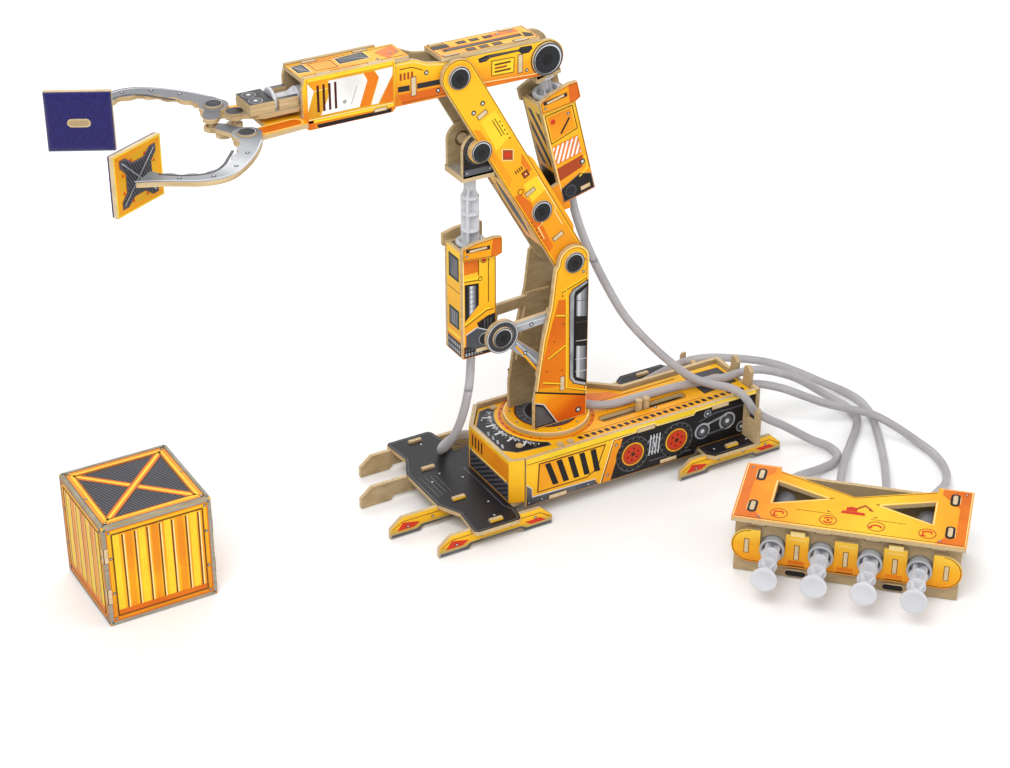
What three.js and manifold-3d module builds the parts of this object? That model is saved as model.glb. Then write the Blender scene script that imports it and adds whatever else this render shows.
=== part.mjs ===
// Desk-top hydraulic arm kit: flat boards slotted together, moved by four pairs of syringes.
// Millimetres, +Z up. The design frame has its Z axis on the turntable axis and Z = 0 on the
// table; the arm reaches towards -X. The whole group is then moved so that the origin is the
// middle of the bottom of its bounding box, hoses left out.
import * as THREE from 'three';
import { mergeVertices } from 'three/addons/utils/BufferGeometryUtils.js';
import Module from 'manifold-3d';

const wasm = await Module();
wasm.setup();

// ---------------------------------------------------------------- driving dimensions
const BOARD = 2.5; // board thickness
const GAP = 0.3; // space between pieces that touch
const HOSE_R = 2.5; // hose outer radius
const PEG_R = 3; // pivot pegs
const PEG_HOLE_R = 3.4; // running hole for a peg
const LOOSE_HOLE_R = 4.6; // hole of a pivot where a linkage is left open
const CAP_R = 6.3; // round pivot caps
const CAP_T = 1.2;

const PLATE_TOP = 13; // chassis plate
const WALL_TOP = 41.2; // side panels of the base
const DECK_TOP = 38.6; // top plate of the base
const NEAR_Y = -41.2; // outer face of the near side panel
const FAR_Y = 28.5; // outer face of the far wall, front part
const REAR_FAR_Y = 4; // outer face of the far wall, rear part
const FRONT_X = -47;
const REAR_X = 123.6;

const DISC_R = 25.4;
const DISC_TOP = 41.2;
const MAST_OUT = 15.6; // half widths over the nested pairs of plates
const BRACKET_OUT = 12.9;
const BOOM_OUT = 12.6;
const FOREARM_OUT = 9.6;

const BOOM_PIVOT = [7.8, 143.6]; // X, Z of the pivots in the arm's plane
const ELBOW = [-62.6, 267.6];
const LIFT_FOOT = [-36.8, 106.6];
const LIFT_ROD = [-49.8, 222.8];
const REACH_FOOT = [-12, 178.8];
const REACH_ROD = [-7.6, 266.2];
const REACH_TILT = THREE.MathUtils.degToRad(14.2);

const SYRINGE = { barrelR: 6.6, boreR: 5.6, flangeR: 8.2, rodR: 5.2, neckR: 3.4, discR: 7.3, length: 52 };
const GRIP_AXIS_Z = 271.3;
const CLAW_PIVOT = [-186.6, -20.5];
const LEVER_END = [-193.6, -7.6];
const TONGUE_PIN = [-184, 0];
const CLAW_Z = 264;

const CONSOLE_AT = [98.65, -165.4];
const CONSOLE_YAW = THREE.MathUtils.degToRad(-44.33);
const CONSOLE_W = 127;
const CONSOLE_D = 57.4;
const CONSOLE_TOP = 37.2;
const CONSOLE_AXIS_Z = 18.6;
const CONSOLE_PITCH = 26.7;

const CRATE = 62;
const CRATE_AT = [-281.5, -18.6];

// ---------------------------------------------------------------- materials
const finish = (color, roughness) => new THREE.MeshStandardMaterial({ color, roughness, metalness: 0 });
const YELLOW = finish('#e9a514', 0.5);
const BLACK = finish('#1e1b1b', 0.55);
const BARE = finish('#b79c74', 0.75);
const GREY = finish('#83878c', 0.5);
const NAVY = finish('#26215f', 0.9);
const CLEAR = finish('#d5d8dc', 0.25);
const HOSE = finish('#b9b6b8', 0.35);

// ---------------------------------------------------------------- shapes and solids
const outline = (points) => new THREE.Shape(points.map(([u, v]) => new THREE.Vector2(u, v)));
const hole = (points) => new THREE.Path(points.map(([u, v]) => new THREE.Vector2(u, v)));

function disc(u, v, r, sides = 16) {
  const ring = [];
  for (let i = 0; i < sides; i++) {
    const a = (2 * Math.PI * i) / sides;
    ring.push([u + r * Math.cos(a), v + r * Math.sin(a)]);
  }
  return ring;
}

const rect = (u0, v0, u1, v1) => [[u0, v0], [u1, v0], [u1, v1], [u0, v1]];

function arc(u, v, r, from, to, steps) {
  const points = [];
  for (let i = 0; i <= steps; i++) {
    const a = THREE.MathUtils.degToRad(from + ((to - from) * i) / steps);
    points.push([u + r * Math.cos(a), v + r * Math.sin(a)]);
  }
  return points;
}

// A bar of the given half width between two points, with round ends.
function bar(a, b, half, steps = 6) {
  const angle = THREE.MathUtils.radToDeg(Math.atan2(b[1] - a[1], b[0] - a[0]));
  return [
    ...arc(a[0], a[1], half, angle + 90, angle + 270, steps),
    ...arc(b[0], b[1], half, angle - 90, angle + 90, steps),
  ];
}

function slab(points, holes, depth) {
  const shape = outline(points);
  holes.forEach((h) => shape.holes.push(hole(h)));
  return new THREE.ExtrudeGeometry(shape, { depth, bevelEnabled: false, curveSegments: 12 });
}

// Slabs lying in each plane, between two values of the third coordinate.
const slabXY = (points, z0, z1, holes = []) => slab(points, holes, z1 - z0).translate(0, 0, z0);
const slabXZ = (points, y0, y1, holes = []) =>
  slab(points, holes, y1 - y0).rotateX(Math.PI / 2).translate(0, y1, 0);
const YZ_BASIS = new THREE.Matrix4().makeBasis(
  new THREE.Vector3(0, 1, 0),
  new THREE.Vector3(0, 0, 1),
  new THREE.Vector3(1, 0, 0),
);
const slabYZ = (points, x0, x1, holes = []) =>
  slab(points, holes, x1 - x0).applyMatrix4(YZ_BASIS).translate(x0, 0, 0);

const block = (x0, y0, z0, x1, y1, z1) => slabXY(rect(x0, y0, x1, y1), z0, z1);

function solid(geometry) {
  const g = geometry.clone();
  g.deleteAttribute('normal');
  g.deleteAttribute('uv');
  const merged = mergeVertices(g, 1e-4);
  const corners = merged.index.array;
  const triVerts = [];
  for (let i = 0; i < corners.length; i += 3) {
    const [a, b, c] = [corners[i], corners[i + 1], corners[i + 2]];
    if (a !== b && b !== c && c !== a) triVerts.push(a, b, c);
  }
  return new wasm.Manifold(
    new wasm.Mesh({
      numProp: 3,
      vertProperties: new Float32Array(merged.attributes.position.array),
      triVerts: new Uint32Array(triVerts),
    }),
  );
}

function toGeometry(body) {
  const mesh = body.getMesh();
  const g = new THREE.BufferGeometry();
  g.setAttribute('position', new THREE.BufferAttribute(new Float32Array(mesh.vertProperties), 3));
  g.setIndex(new THREE.BufferAttribute(new Uint32Array(mesh.triVerts), 1));
  g.computeVertexNormals();
  return g;
}

const join = (...parts) => toGeometry(parts.map(solid).reduce((a, b) => a.add(b)));
const cut = (base, ...tools) => toGeometry(tools.map(solid).reduce((a, b) => a.subtract(b), solid(base)));

function piece(parent, name, geometry, material) {
  const mesh = new THREE.Mesh(geometry, material);
  mesh.name = name;
  parent.add(mesh);
  return mesh;
}

// The same slab on the near side (-Y) and the far side (+Y) of the arm's plane.
const SIDES = [['near', -1], ['far', 1]];
function sideSlab(points, inner, outer, side, holes = []) {
  return side < 0 ? slabXZ(points, -outer, -inner, holes) : slabXZ(points, inner, outer, holes);
}

// A cap on a plate's outer face, and the peg that goes inwards from it through the next plate.
function capAndPeg(at, plateOut, pegIn, side) {
  return [
    sideSlab(disc(at[0], at[1], CAP_R), plateOut - 0.5, plateOut + CAP_T, side),
    sideSlab(disc(at[0], at[1], PEG_R, 12), pegIn, plateOut, side),
  ];
}

// ---------------------------------------------------------------- syringes, along local +Z
// A body of revolution from its lowest point on the axis to its highest, as [radius, z].
function turned(profile, sides = 12) {
  const lathe = new THREE.LatheGeometry(profile.map(([r, z]) => new THREE.Vector2(r, z)), sides);
  return toGeometry(solid(lathe.rotateX(Math.PI / 2)));
}

// The barrel has its open end and flange at z = 0 and its nozzle downwards.
function barrelGeometry() {
  const { barrelR, boreR, flangeR, length } = SYRINGE;
  return turned([
    [0, -length - 7.5], [1.7, -length - 7.5], [2, -length - 1.2], [barrelR, -length], [barrelR, -2],
    [flangeR, -2], [flangeR, 0], [boreR, 0], [boreR, -length + 1.2], [0, -length + 1.2],
  ]);
}

// The plunger has the top of its thumb disc at z = 0 and its rubber end at -reach.
function plungerGeometry(reach) {
  const { rodR, neckR, discR } = SYRINGE;
  return turned([
    [0, -reach], [rodR, -reach], [rodR, -14], [neckR, -11], [neckR, -1.6], [discR, -1.6], [discR, 0], [0, 0],
  ]);
}

function hose(points, sides = 8, step = 13) {
  const curve = new THREE.CatmullRomCurve3(points.map((p) => new THREE.Vector3(...p)), false, 'centripetal');
  const steps = Math.round(curve.getLength() / step);
  return new THREE.ExtrudeGeometry(outline(disc(0, 0, HOSE_R, sides)), { steps, extrudePath: curve });
}

// ---------------------------------------------------------------- base
const arm = new THREE.Group();
const design = new THREE.Group();
arm.add(design);

const LEG_H = 12.4;
const UNDER_PLATE = PLATE_TOP - BOARD - GAP;
const PLATE_FRONT = -83;

// A leg runs along X, with a tab that goes up through the plate.
function leg(name, y, x0, x1, plateFrom, plateTo, tabX, material) {
  const ends = { toe: 7.5, arch: 19, lift: 2.4, tab: 4 };
  const points = [[x0, 0], [x0 + ends.arch, 0], [x0 + ends.arch + 2.5, ends.lift]];
  points.push([x1 - ends.arch - 2.5, ends.lift], [x1 - ends.arch, 0], [x1, 0], [x1, 5.4]);
  if (plateTo < x1) points.push([x1 - ends.toe, LEG_H], [plateTo + GAP, LEG_H], [plateTo + GAP, UNDER_PLATE]);
  else points.push([x1 - 4.8, UNDER_PLATE]);
  points.push([tabX + ends.tab, UNDER_PLATE], [tabX + ends.tab, PLATE_TOP + 1.3]);
  points.push([tabX - ends.tab, PLATE_TOP + 1.3], [tabX - ends.tab, UNDER_PLATE]);
  if (plateFrom > x0 + ends.toe) {
    points.push([plateFrom - GAP, UNDER_PLATE], [plateFrom - GAP, LEG_H], [x0 + ends.toe, LEG_H]);
  } else points.push([x0 + ends.toe, UNDER_PLATE]);
  points.push([x0, 6.2]);
  piece(design, name, slabXZ(points, y - BOARD / 2, y + BOARD / 2), material);
}

const OUTER_LEG_Y = 48.7;
const INNER_LEG_Y = 18.4;
const FRONT_TAB_X = -61.6;
const INNER_TAB_X = -69;
const REAR_TAB_X = 99.3;
leg('front_leg_near', -OUTER_LEG_Y, -98.6, -25.4, -78.2, -46.9, FRONT_TAB_X, YELLOW);
leg('front_leg_far', OUTER_LEG_Y, -98.6, -25.4, -78.2, -46.9, FRONT_TAB_X, BARE);
leg('inner_leg_near', -INNER_LEG_Y, -113.5, -44, PLATE_FRONT, 0, INNER_TAB_X, YELLOW);
leg('inner_leg_far', INNER_LEG_Y, -113.5, -44, PLATE_FRONT, 0, INNER_TAB_X, BARE);
leg('rear_leg_near', -OUTER_LEG_Y, 62.6, 134.4, 80.7, 118, REAR_TAB_X, YELLOW);
leg('rear_leg_far', OUTER_LEG_Y, 62.6, 134.4, 80.7, 118, REAR_TAB_X, BARE);

function chassisPlate() {
  const body = REAR_FAR_Y + 0;
  const near = [
    [PLATE_FRONT, -19], [-76, -33], [-78, -53], [-76, -55], [-50, -55], [-48, -53], [-46.5, -44],
    [-46.5, NEAR_Y + BOARD + GAP], [80.7, NEAR_Y + BOARD + GAP], [80.7, -50], [84, -54], [116, -54],
    [118, -51], [118, -42], [REAR_X, -42],
  ];
  const far = [
    [REAR_X, body], [118, body], [118, 51], [116, 54], [86, 54], [80.7, 50], [80.7, body], [54.5, body],
    [26, FAR_Y], [-33.5, FAR_Y], [-46.5, FAR_Y], [-46.5, 44], [-48, 53], [-50, 55], [-76, 55], [-78, 53],
    [-76, 33], [PLATE_FRONT, 19],
  ];
  const slot = (x, y) => rect(x - 4.4, y - 1.6, x + 4.4, y + 1.6);
  const slots = [-1, 1].flatMap((s) => [
    slot(FRONT_TAB_X, s * OUTER_LEG_Y), slot(INNER_TAB_X, s * INNER_LEG_Y), slot(REAR_TAB_X, s * OUTER_LEG_Y),
  ]);
  return slabXY([...near, ...far], PLATE_TOP - BOARD, PLATE_TOP, slots);
}
piece(design, 'chassis_plate', chassisPlate(), BLACK);

const CLIP_X = 111.9; // cross plate that clips the hoses outside the walls
const WALL_FOOT = PLATE_TOP + GAP;
const CLIP_SLOT = rect(CLIP_X - GAP, 12, CLIP_X + BOARD + GAP, 34.3);

const nearPanel = cut(
  slabXZ(
    [[-37.6, 9.6], [77, 9.6], [79.5, 13.4], [REAR_X - BOARD - GAP, 13.4], [REAR_X - BOARD - GAP, WALL_TOP],
      [-37.6, WALL_TOP]],
    NEAR_Y,
    NEAR_Y + BOARD,
  ),
  slabXZ(CLIP_SLOT, NEAR_Y - 1, NEAR_Y + BOARD + 1),
);
piece(design, 'side_panel_near', nearPanel, YELLOW);

// A wall standing along a bent line in plan, its thickness to the left of the line's direction.
function bentWall(line, thickness, z0, z1) {
  const offset = [];
  for (let i = 0; i < line.length; i++) {
    const before = line[Math.max(i - 1, 0)];
    const after = line[Math.min(i + 1, line.length - 1)];
    const unit = (a, b) => new THREE.Vector2(b[0] - a[0], b[1] - a[1]).normalize();
    const d0 = i > 0 ? unit(before, line[i]) : unit(line[i], after);
    const d1 = i < line.length - 1 ? unit(line[i], after) : d0;
    const n = new THREE.Vector2(-d0.y - d1.y, d0.x + d1.x).normalize();
    const k = thickness / n.dot(new THREE.Vector2(-d0.y, d0.x));
    offset.push([line[i][0] + n.x * k, line[i][1] + n.y * k]);
  }
  return slabXY([...line, ...offset.reverse()], z0, z1);
}

const farLine = [[REAR_X - BOARD - GAP, REAR_FAR_Y], [54.5, REAR_FAR_Y], [26, FAR_Y], [-30.6, FAR_Y]];
const farWall = cut(
  bentWall(farLine, BOARD, WALL_FOOT, WALL_TOP),
  slabXZ(CLIP_SLOT, REAR_FAR_Y - BOARD - 1, REAR_FAR_Y + 1),
);
piece(design, 'side_panel_far', farWall, BARE);

const frontLine = [[-33.2, FAR_Y - 0.4], [FRONT_X, 8.6], [FRONT_X, -38.1], [-38.4, NEAR_Y + 0.3]];
piece(design, 'front_panel', bentWall(frontLine, BOARD, WALL_FOOT, WALL_TOP), YELLOW);

const SLOT_Y = -20.8; // slot of the slewing slider
const HUB_R = 12.1;
function topPlate() {
  const inset = 3.1;
  const points = [
    [FRONT_X + inset, -35.9], [-37.4, NEAR_Y + inset], [REAR_X - inset, NEAR_Y + inset],
    [REAR_X - inset, REAR_FAR_Y - inset], [53.2, REAR_FAR_Y - inset], [24.8, FAR_Y - inset],
    [-31.6, FAR_Y - inset], [FRONT_X + inset, 8],
  ];
  return slabXY(points, DECK_TOP - BOARD, DECK_TOP, [
    disc(0, 0, HUB_R + 0.5, 24),
    bar([27, SLOT_Y], [80, SLOT_Y], 2.6),
    bar([99, -13.5], [112, -13.5], 2.6),
  ]);
}
piece(design, 'top_plate', topPlate(), YELLOW);

// Cross plate: it passes through both side walls and has a notch for a hose at each end.
const SLEW_HOSE_Y = -20.8;
function clipPlate() {
  const points = [
    [-56.3, WALL_FOOT], [24.5, WALL_FOOT], [27, 16], [27, 34], [25, 37], [23.8, 37], [23.8, 30], [16.4, 30],
    [16.4, 34], [15, 36], [11, 34], [8, 26], [4.6, 24], [1, 33.9], [-38, 33.9], [-41.6, 33.9], [-42.8, 36.4],
    [-44.4, 35], [-44.8, 26.5], [-52.4, 26.5], [-52.6, 35.6], [-54.5, 37.2], [-56.3, 35],
  ];
  return slabYZ(points, CLIP_X, CLIP_X + BOARD, [disc(SLEW_HOSE_Y, 28.6, 3.8, 12)]);
}
piece(design, 'clip_plate', clipPlate(), BARE);

function rearPlate() {
  const hump = (y0, y1, top) => [
    [y0, 38.4], [y0 - 1, top - 3], [y0 + 2, top], [(y0 + y1) / 2 + 2, top - 1], [y1 - 0.6, top - 6], [y1, 38.4],
  ];
  const points = [
    [NEAR_Y, WALL_FOOT], [REAR_FAR_Y, WALL_FOOT], [REAR_FAR_Y, WALL_TOP], [-12, WALL_TOP],
    ...hump(-19.2, -13, 52).reverse(), ...hump(-33, -26.4, 52).reverse(), [-35, WALL_TOP], [NEAR_Y, WALL_TOP],
  ];
  return slabYZ(points, REAR_X - BOARD, REAR_X, [disc(SLEW_HOSE_Y, 31.6, 4, 12)]);
}
piece(design, 'rear_plate', rearPlate(), BARE);

// Slewing syringe inside the base: its carriage has two pins that come up through the slot.
const SLEW_Z = 21.5;
const SLEW_FLANGE_X = 26;
const slewBarrel = barrelGeometry().rotateY(-Math.PI / 2).translate(SLEW_FLANGE_X, SLOT_Y, SLEW_Z);
piece(design, 'slew_barrel', slewBarrel, CLEAR);
const SLEW_DISC_X = -1;
const SLEW_PIN_X = 54;
const slewPlunger = join(
  plungerGeometry(60).rotateY(-Math.PI / 2).translate(SLEW_DISC_X, SLOT_Y, SLEW_Z),
  block(SLEW_DISC_X - 2.5, SLOT_Y - 4, SLEW_Z - 4, SLEW_DISC_X + 0.5, SLOT_Y + 4, 34.6),
  block(SLEW_DISC_X - 2.5, SLOT_Y - 4, 31.6, SLEW_PIN_X + 5, SLOT_Y + 4, 34.6),
  slabXY(disc(SLEW_PIN_X - 3, SLOT_Y, 2.1, 16), 34, 44.4),
  slabXY(disc(SLEW_PIN_X + 2, SLOT_Y, 2.1, 16), 34, 44.4),
);
piece(design, 'slew_plunger', slewPlunger, BARE);

// ---------------------------------------------------------------- turntable and mast
const turntable = join(
  slabXY(disc(0, 0, DISC_R, 32), DECK_TOP + GAP, DISC_TOP),
  slabXY(disc(0, 0, HUB_R, 24), 32.5, DISC_TOP - 1),
  slabXY(disc(0, 0, 16, 24), 32.5, DECK_TOP - BOARD - GAP),
);
piece(design, 'turntable_disc', turntable, YELLOW);

const MAST_FOOT = DISC_TOP + GAP;
const mastOutline = [
  [-17.4, MAST_FOOT], [17.9, MAST_FOOT], [17.9, BOOM_PIVOT[1]],
  ...arc(BOOM_PIVOT[0], BOOM_PIVOT[1], 10.1, 0, 180, 12),
  [-4.2, 141], [-7, 118], [-11.9, 97], [-16.2, 66], [-17.4, 60],
];
SIDES.forEach(([name, side]) => {
  const parts = [
    sideSlab(mastOutline, MAST_OUT - BOARD, MAST_OUT, side),
    ...capAndPeg(BOOM_PIVOT, MAST_OUT, BOOM_OUT - BOARD - 0.2, side),
  ];
  // The far plate carries the board across the back of the mast.
  if (side > 0) parts.push(slabYZ(rect(-12.8, 62, 13.4, 122), 14, 14 + BOARD));
  piece(design, `mast_${name}`, join(...parts), side < 0 ? YELLOW : BARE);
});

SIDES.forEach(([name, side]) => {
  const inner = BRACKET_OUT - BOARD;
  const plate = join(
    sideSlab(disc(LIFT_FOOT[0], LIFT_FOOT[1], 10.3, 20), inner, BRACKET_OUT, side),
    sideSlab(bar([LIFT_FOOT[0] + 3, LIFT_FOOT[1] + 3], [-3, 111.5], 3.2), inner, BRACKET_OUT, side),
    sideSlab(bar([LIFT_FOOT[0] + 3, LIFT_FOOT[1] - 3], [-8, 81], 3.2), inner, BRACKET_OUT, side),
    sideSlab([[-14, 74], [8, 74], [8, 116], [-7, 116]], inner, BRACKET_OUT, side),
    ...capAndPeg(LIFT_FOOT, BRACKET_OUT, 7, side),
  );
  piece(design, `bracket_${name}`, plate, side < 0 ? GREY : BARE);
});

// ---------------------------------------------------------------- arm cylinders
// Built with the rod pivot at the local origin and the syringe hanging down local -Z.
const HOUSING_IN = 7.6; // half spaces between the housing's side boards
const HOUSING_X = 10.6;

function cylinder(parent, prefix, top, bottom, foot, discZ, headR, footR) {
  const ring = slabXY(rect(-HOUSING_X, -HOUSING_IN - BOARD, HOUSING_X, HOUSING_IN + BOARD), bottom, top, [
    rect(-HOUSING_X + BOARD, -HOUSING_IN, HOUSING_X - BOARD, HOUSING_IN),
  ]);
  const collarTop = top + 7;
  const collar = [
    [-HOUSING_X - 1, top - 3], [HOUSING_X - 1.5, top - 5], [HOUSING_X + 2.5, top - 3.5], [HOUSING_X + 2.5, collarTop - 1],
    [HOUSING_X - 2, collarTop], [-4, collarTop - 1], [-HOUSING_X - 1, collarTop - 3],
  ];
  const towards = Math.sign(foot[0]);
  const edge = towards * (HOUSING_X - 4);
  const footPlate = [
    [edge, foot[1] + 10], ...arc(foot[0], foot[1], footR, 90, 90 - 180 * towards, 10), [edge, foot[1] - 9],
  ];
  const parts = [ring];
  SIDES.forEach(([, side]) => {
    parts.push(sideSlab(footPlate, HOUSING_IN, HOUSING_IN + BOARD, side));
    parts.push(sideSlab(collar, HOUSING_IN + BOARD - 0.3, HOUSING_IN + 2 * BOARD, side));
  });
  const footHole = slabXZ(disc(foot[0], foot[1], PEG_HOLE_R, 12), -20, 20);
  const housing = new THREE.Group();
  housing.name = `${prefix}_cylinder`;
  parent.add(housing);
  piece(housing, `${prefix}_housing`, cut(join(...parts), footHole), YELLOW);
  piece(housing, `${prefix}_barrel`, barrelGeometry().translate(0, 0, top + 2 + GAP), CLEAR);

  const headIn = prefix === 'lift' ? 7.3 : 4.3;
  const headParts = [
    plungerGeometry(prefix === 'lift' ? 60 : 57.5).translate(0, 0, discZ),
    block(-headR - 0.6, -headIn - BOARD, discZ - 1, headR + 0.6, headIn + BOARD, discZ + 2.6),
  ];
  SIDES.forEach(([, side]) => {
    const lug = [...arc(0, 0, headR, 0, 180, 14), [-headR, discZ + 1], [headR, discZ + 1]];
    headParts.push(sideSlab(lug, headIn, headIn + BOARD, side, [disc(0, 0, LOOSE_HOLE_R, 12)]));
  });
  piece(housing, `${prefix}_plunger`, join(...headParts), GREY);
  return housing;
}

function along(pivot, tilt, point) {
  const dx = point[0] - pivot[0];
  const dz = point[1] - pivot[1];
  return [dx * Math.cos(tilt) + dz * Math.sin(tilt), -dx * Math.sin(tilt) + dz * Math.cos(tilt)];
}

const lift = cylinder(design, 'lift', -60, -125.6, along(LIFT_ROD, 0, LIFT_FOOT), -16.5, 9.4, 7);
lift.position.set(LIFT_ROD[0], 0, LIFT_ROD[1]);
const reachFoot = along(REACH_ROD, REACH_TILT, REACH_FOOT);
const reach = cylinder(design, 'reach', -25.6, -88, reachFoot, -12.4, 7.2, 6);
reach.position.set(REACH_ROD[0], 0, REACH_ROD[1]);
reach.rotation.y = -REACH_TILT;

// ---------------------------------------------------------------- boom
const boomDir = new THREE.Vector2(ELBOW[0] - BOOM_PIVOT[0], ELBOW[1] - BOOM_PIVOT[1]);
const boomLength = boomDir.length();
boomDir.normalize();
// A point t along the boom from its lower pivot and n to its rear side.
const onBoom = (t, n) => [
  BOOM_PIVOT[0] + boomDir.x * t + boomDir.y * n,
  BOOM_PIVOT[1] + boomDir.y * t - boomDir.x * n,
];
const BOOM_HALF = 10;

SIDES.forEach(([name, side]) => {
  const inner = BOOM_OUT - BOARD;
  const plate = join(
    sideSlab(bar(BOOM_PIVOT, ELBOW, BOOM_HALF, 10), inner, BOOM_OUT, side, [
      disc(BOOM_PIVOT[0], BOOM_PIVOT[1], PEG_HOLE_R, 12),
    ]),
    sideSlab(disc(LIFT_ROD[0], LIFT_ROD[1], CAP_R + 0.6), inner, BOOM_OUT, side),
    sideSlab(bar(onBoom(20, 3.5), onBoom(70, 3.5), 8.2), inner, BOOM_OUT, side),
    ...capAndPeg(ELBOW, BOOM_OUT, 7.3, side),
    ...capAndPeg(LIFT_ROD, BOOM_OUT, 7.4, side),
    ...capAndPeg(REACH_FOOT, BOOM_OUT, 7.4, side),
  );
  const pierced = cut(plate, sideSlab(disc(BOOM_PIVOT[0], BOOM_PIVOT[1], PEG_HOLE_R, 12), 0, 20, side));
  piece(design, `boom_${name}`, pierced, side < 0 ? YELLOW : BARE);
});

const WEB_HALF = BOOM_OUT - BOARD - GAP;
const web = (t0, t1, n0, n1) =>
  slabXZ([onBoom(t0, n0), onBoom(t1, n0), onBoom(t1, n1), onBoom(t0, n1)].reverse(), -WEB_HALF, WEB_HALF);
piece(design, 'boom_web', web(17, 72, -9.6, -7.1), YELLOW);

// ---------------------------------------------------------------- forearm
const HOOD_X = [-152, -99.5];
SIDES.forEach(([name, side]) => {
  const inner = FOREARM_OUT - BOARD;
  const points = [
    [-141.6, 257.7], [-14, 256.9], ...arc(REACH_ROD[0], REACH_ROD[1], 10.4, -75, 100, 14), [-14, 276.4],
    [-70, 276.4], [-79, 277.9], [-87, 281.4], [-141.6, 281.4],
  ];
  const plate = join(
    sideSlab(points, inner, FOREARM_OUT, side, [disc(ELBOW[0], ELBOW[1], PEG_HOLE_R, 12)]),
    sideSlab(disc(REACH_ROD[0], REACH_ROD[1], 9.4, 24), FOREARM_OUT - 0.5, FOREARM_OUT + CAP_T, side),
    sideSlab(disc(REACH_ROD[0], REACH_ROD[1], PEG_R, 12), 4.2, FOREARM_OUT, side),
  );
  piece(design, `forearm_${name}`, plate, side < 0 ? YELLOW : BARE);
});
piece(design, 'forearm_top', slabXY(rect(-71, -FOREARM_OUT, -12, FOREARM_OUT), 276.7, 279.2), YELLOW);

const HOOD_IN = FOREARM_OUT + GAP;
const hoodSide = [
  [HOOD_X[0] + 3, 256.4], [HOOD_X[1] - 2, 256.4], [HOOD_X[1], 258.4], [HOOD_X[1], 284.8], [HOOD_X[0] + 1.5, 284.8],
  [HOOD_X[0], 279], [HOOD_X[0], 259.4],
];
const hood = join(
  slabXY(rect(HOOD_X[0] + 1, -HOOD_IN - 1, HOOD_X[1] - 1, HOOD_IN + 1), 281.7, 284.2),
  slabXY(rect(HOOD_X[1] - 2, -FOREARM_OUT, -90, FOREARM_OUT), 281.7, 284.2),
  ...SIDES.map(([, side]) => sideSlab(hoodSide, HOOD_IN, HOOD_IN + BOARD, side)),
);
piece(design, 'hood', hood, YELLOW);

const DECK_Z = CLAW_Z - GAP;
const gripDeck = cut(
  slabXY(
    [
      [-101, -6.8], [-101, 6.8], [-152.4, 6.8], [-152.4, 19], [-178, 21.5], ...arc(CLAW_PIVOT[0], -CLAW_PIVOT[1], 7, 60, 250, 8),
      [-172, 11], [-172, -11], ...arc(CLAW_PIVOT[0], CLAW_PIVOT[1], 7, 110, 300, 8), [-178, -21.5],
      [-152.4, -19], [-152.4, -6.8],
    ].reverse(),
    DECK_Z - BOARD,
    DECK_Z,
  ),
  block(-148, -5.8, DECK_Z - 4, -141.8, 5.8, DECK_Z + 1),
);
piece(design, 'grip_deck', gripDeck, YELLOW);

const GRIP_FLANGE_X = -144.2;
const gripBarrel = barrelGeometry().rotateY(-Math.PI / 2).translate(GRIP_FLANGE_X, 0, GRIP_AXIS_Z);
piece(design, 'grip_barrel', gripBarrel, CLEAR);
const GRIP_DISC_X = -165;
const gripPlunger = plungerGeometry(56).rotateY(-Math.PI / 2).translate(GRIP_DISC_X, 0, GRIP_AXIS_Z);
piece(design, 'grip_plunger', gripPlunger, CLEAR);

// Slider: a tongue with a pin under its nose, and boards on it that hold the thumb disc.
const TONGUE_Z = CLAW_Z + BOARD + GAP;
const slider = cut(
  join(
    slabXY(
      [[-152.5, -9.5], [-152.5, 9.5], [-172, 9.5], [-181, 4.6], ...arc(TONGUE_PIN[0], TONGUE_PIN[1], 5, 60, 300, 8),
        [-181, -4.6], [-172, -9.5]].reverse(),
      TONGUE_Z,
      TONGUE_Z + BOARD,
    ),
    slabXY(rect(-179, -8.8, -152.5, 8.8), TONGUE_Z + BOARD - 0.2, 274.8),
    slabXY(disc(TONGUE_PIN[0], TONGUE_PIN[1], 1.5, 16), 258.8, TONGUE_Z + 1),
    slabXY(disc(TONGUE_PIN[0], TONGUE_PIN[1], 4.4), TONGUE_Z + BOARD - 0.2, TONGUE_Z + BOARD + 1),
  ),
  block(GRIP_DISC_X - 0.4, -7.8, 262, GRIP_DISC_X + 2, 7.8, 280),
  block(GRIP_DISC_X + 1, -5.8, 262, -150, 5.8, 280),
);
piece(design, 'grip_slider', slider, BARE);

// ---------------------------------------------------------------- claws, links and pads
const PAD_W = 34;
const PAD_H = 32;
const PAD_Z = 265.5;
const PAD_AT = [-251.1, -39];
const PAD_YAW = THREE.MathUtils.degToRad(27.5);

const CLAW_OUTER = [
  [-180, -24], [-184, -33], [-193, -45.5], [-203, -55.5], [-212, -61.8], [-220, -63.4], [-229, -61.4],
  [-238, -56.2], [-247, -51.4], [-256, -47.6],
];
const CLAW_INNER = [
  [-194.5, -26.5], [-198, -34], [-203.5, -41], [-210.5, -48], [-218.5, -51.8], [-226, -51.4], [-234, -47.6],
  [-241, -41.9], [-245.5, -38.6],
];

// The inner edge has small raised teeth, spread evenly along it.
function toothedEdge(points, count, height) {
  const spline = new THREE.SplineCurve(points.map(([u, v]) => new THREE.Vector2(u, v)));
  const edge = [];
  const steps = count * 4;
  for (let i = 0; i <= steps; i++) {
    const p = spline.getPointAt(i / steps);
    const t = spline.getTangentAt(i / steps);
    const raised = i % 4 === 1 || i % 4 === 2 ? height : 0;
    edge.push([p.x + t.y * raised, p.y - t.x * raised]);
  }
  return edge;
}

function clawOutline() {
  const outer = new THREE.SplineCurve(CLAW_OUTER.map(([u, v]) => new THREE.Vector2(u, v)));
  return [...outer.getPoints(18).map((p) => [p.x, p.y]), ...toothedEdge(CLAW_INNER, 7, -1.5).reverse()];
}

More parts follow.
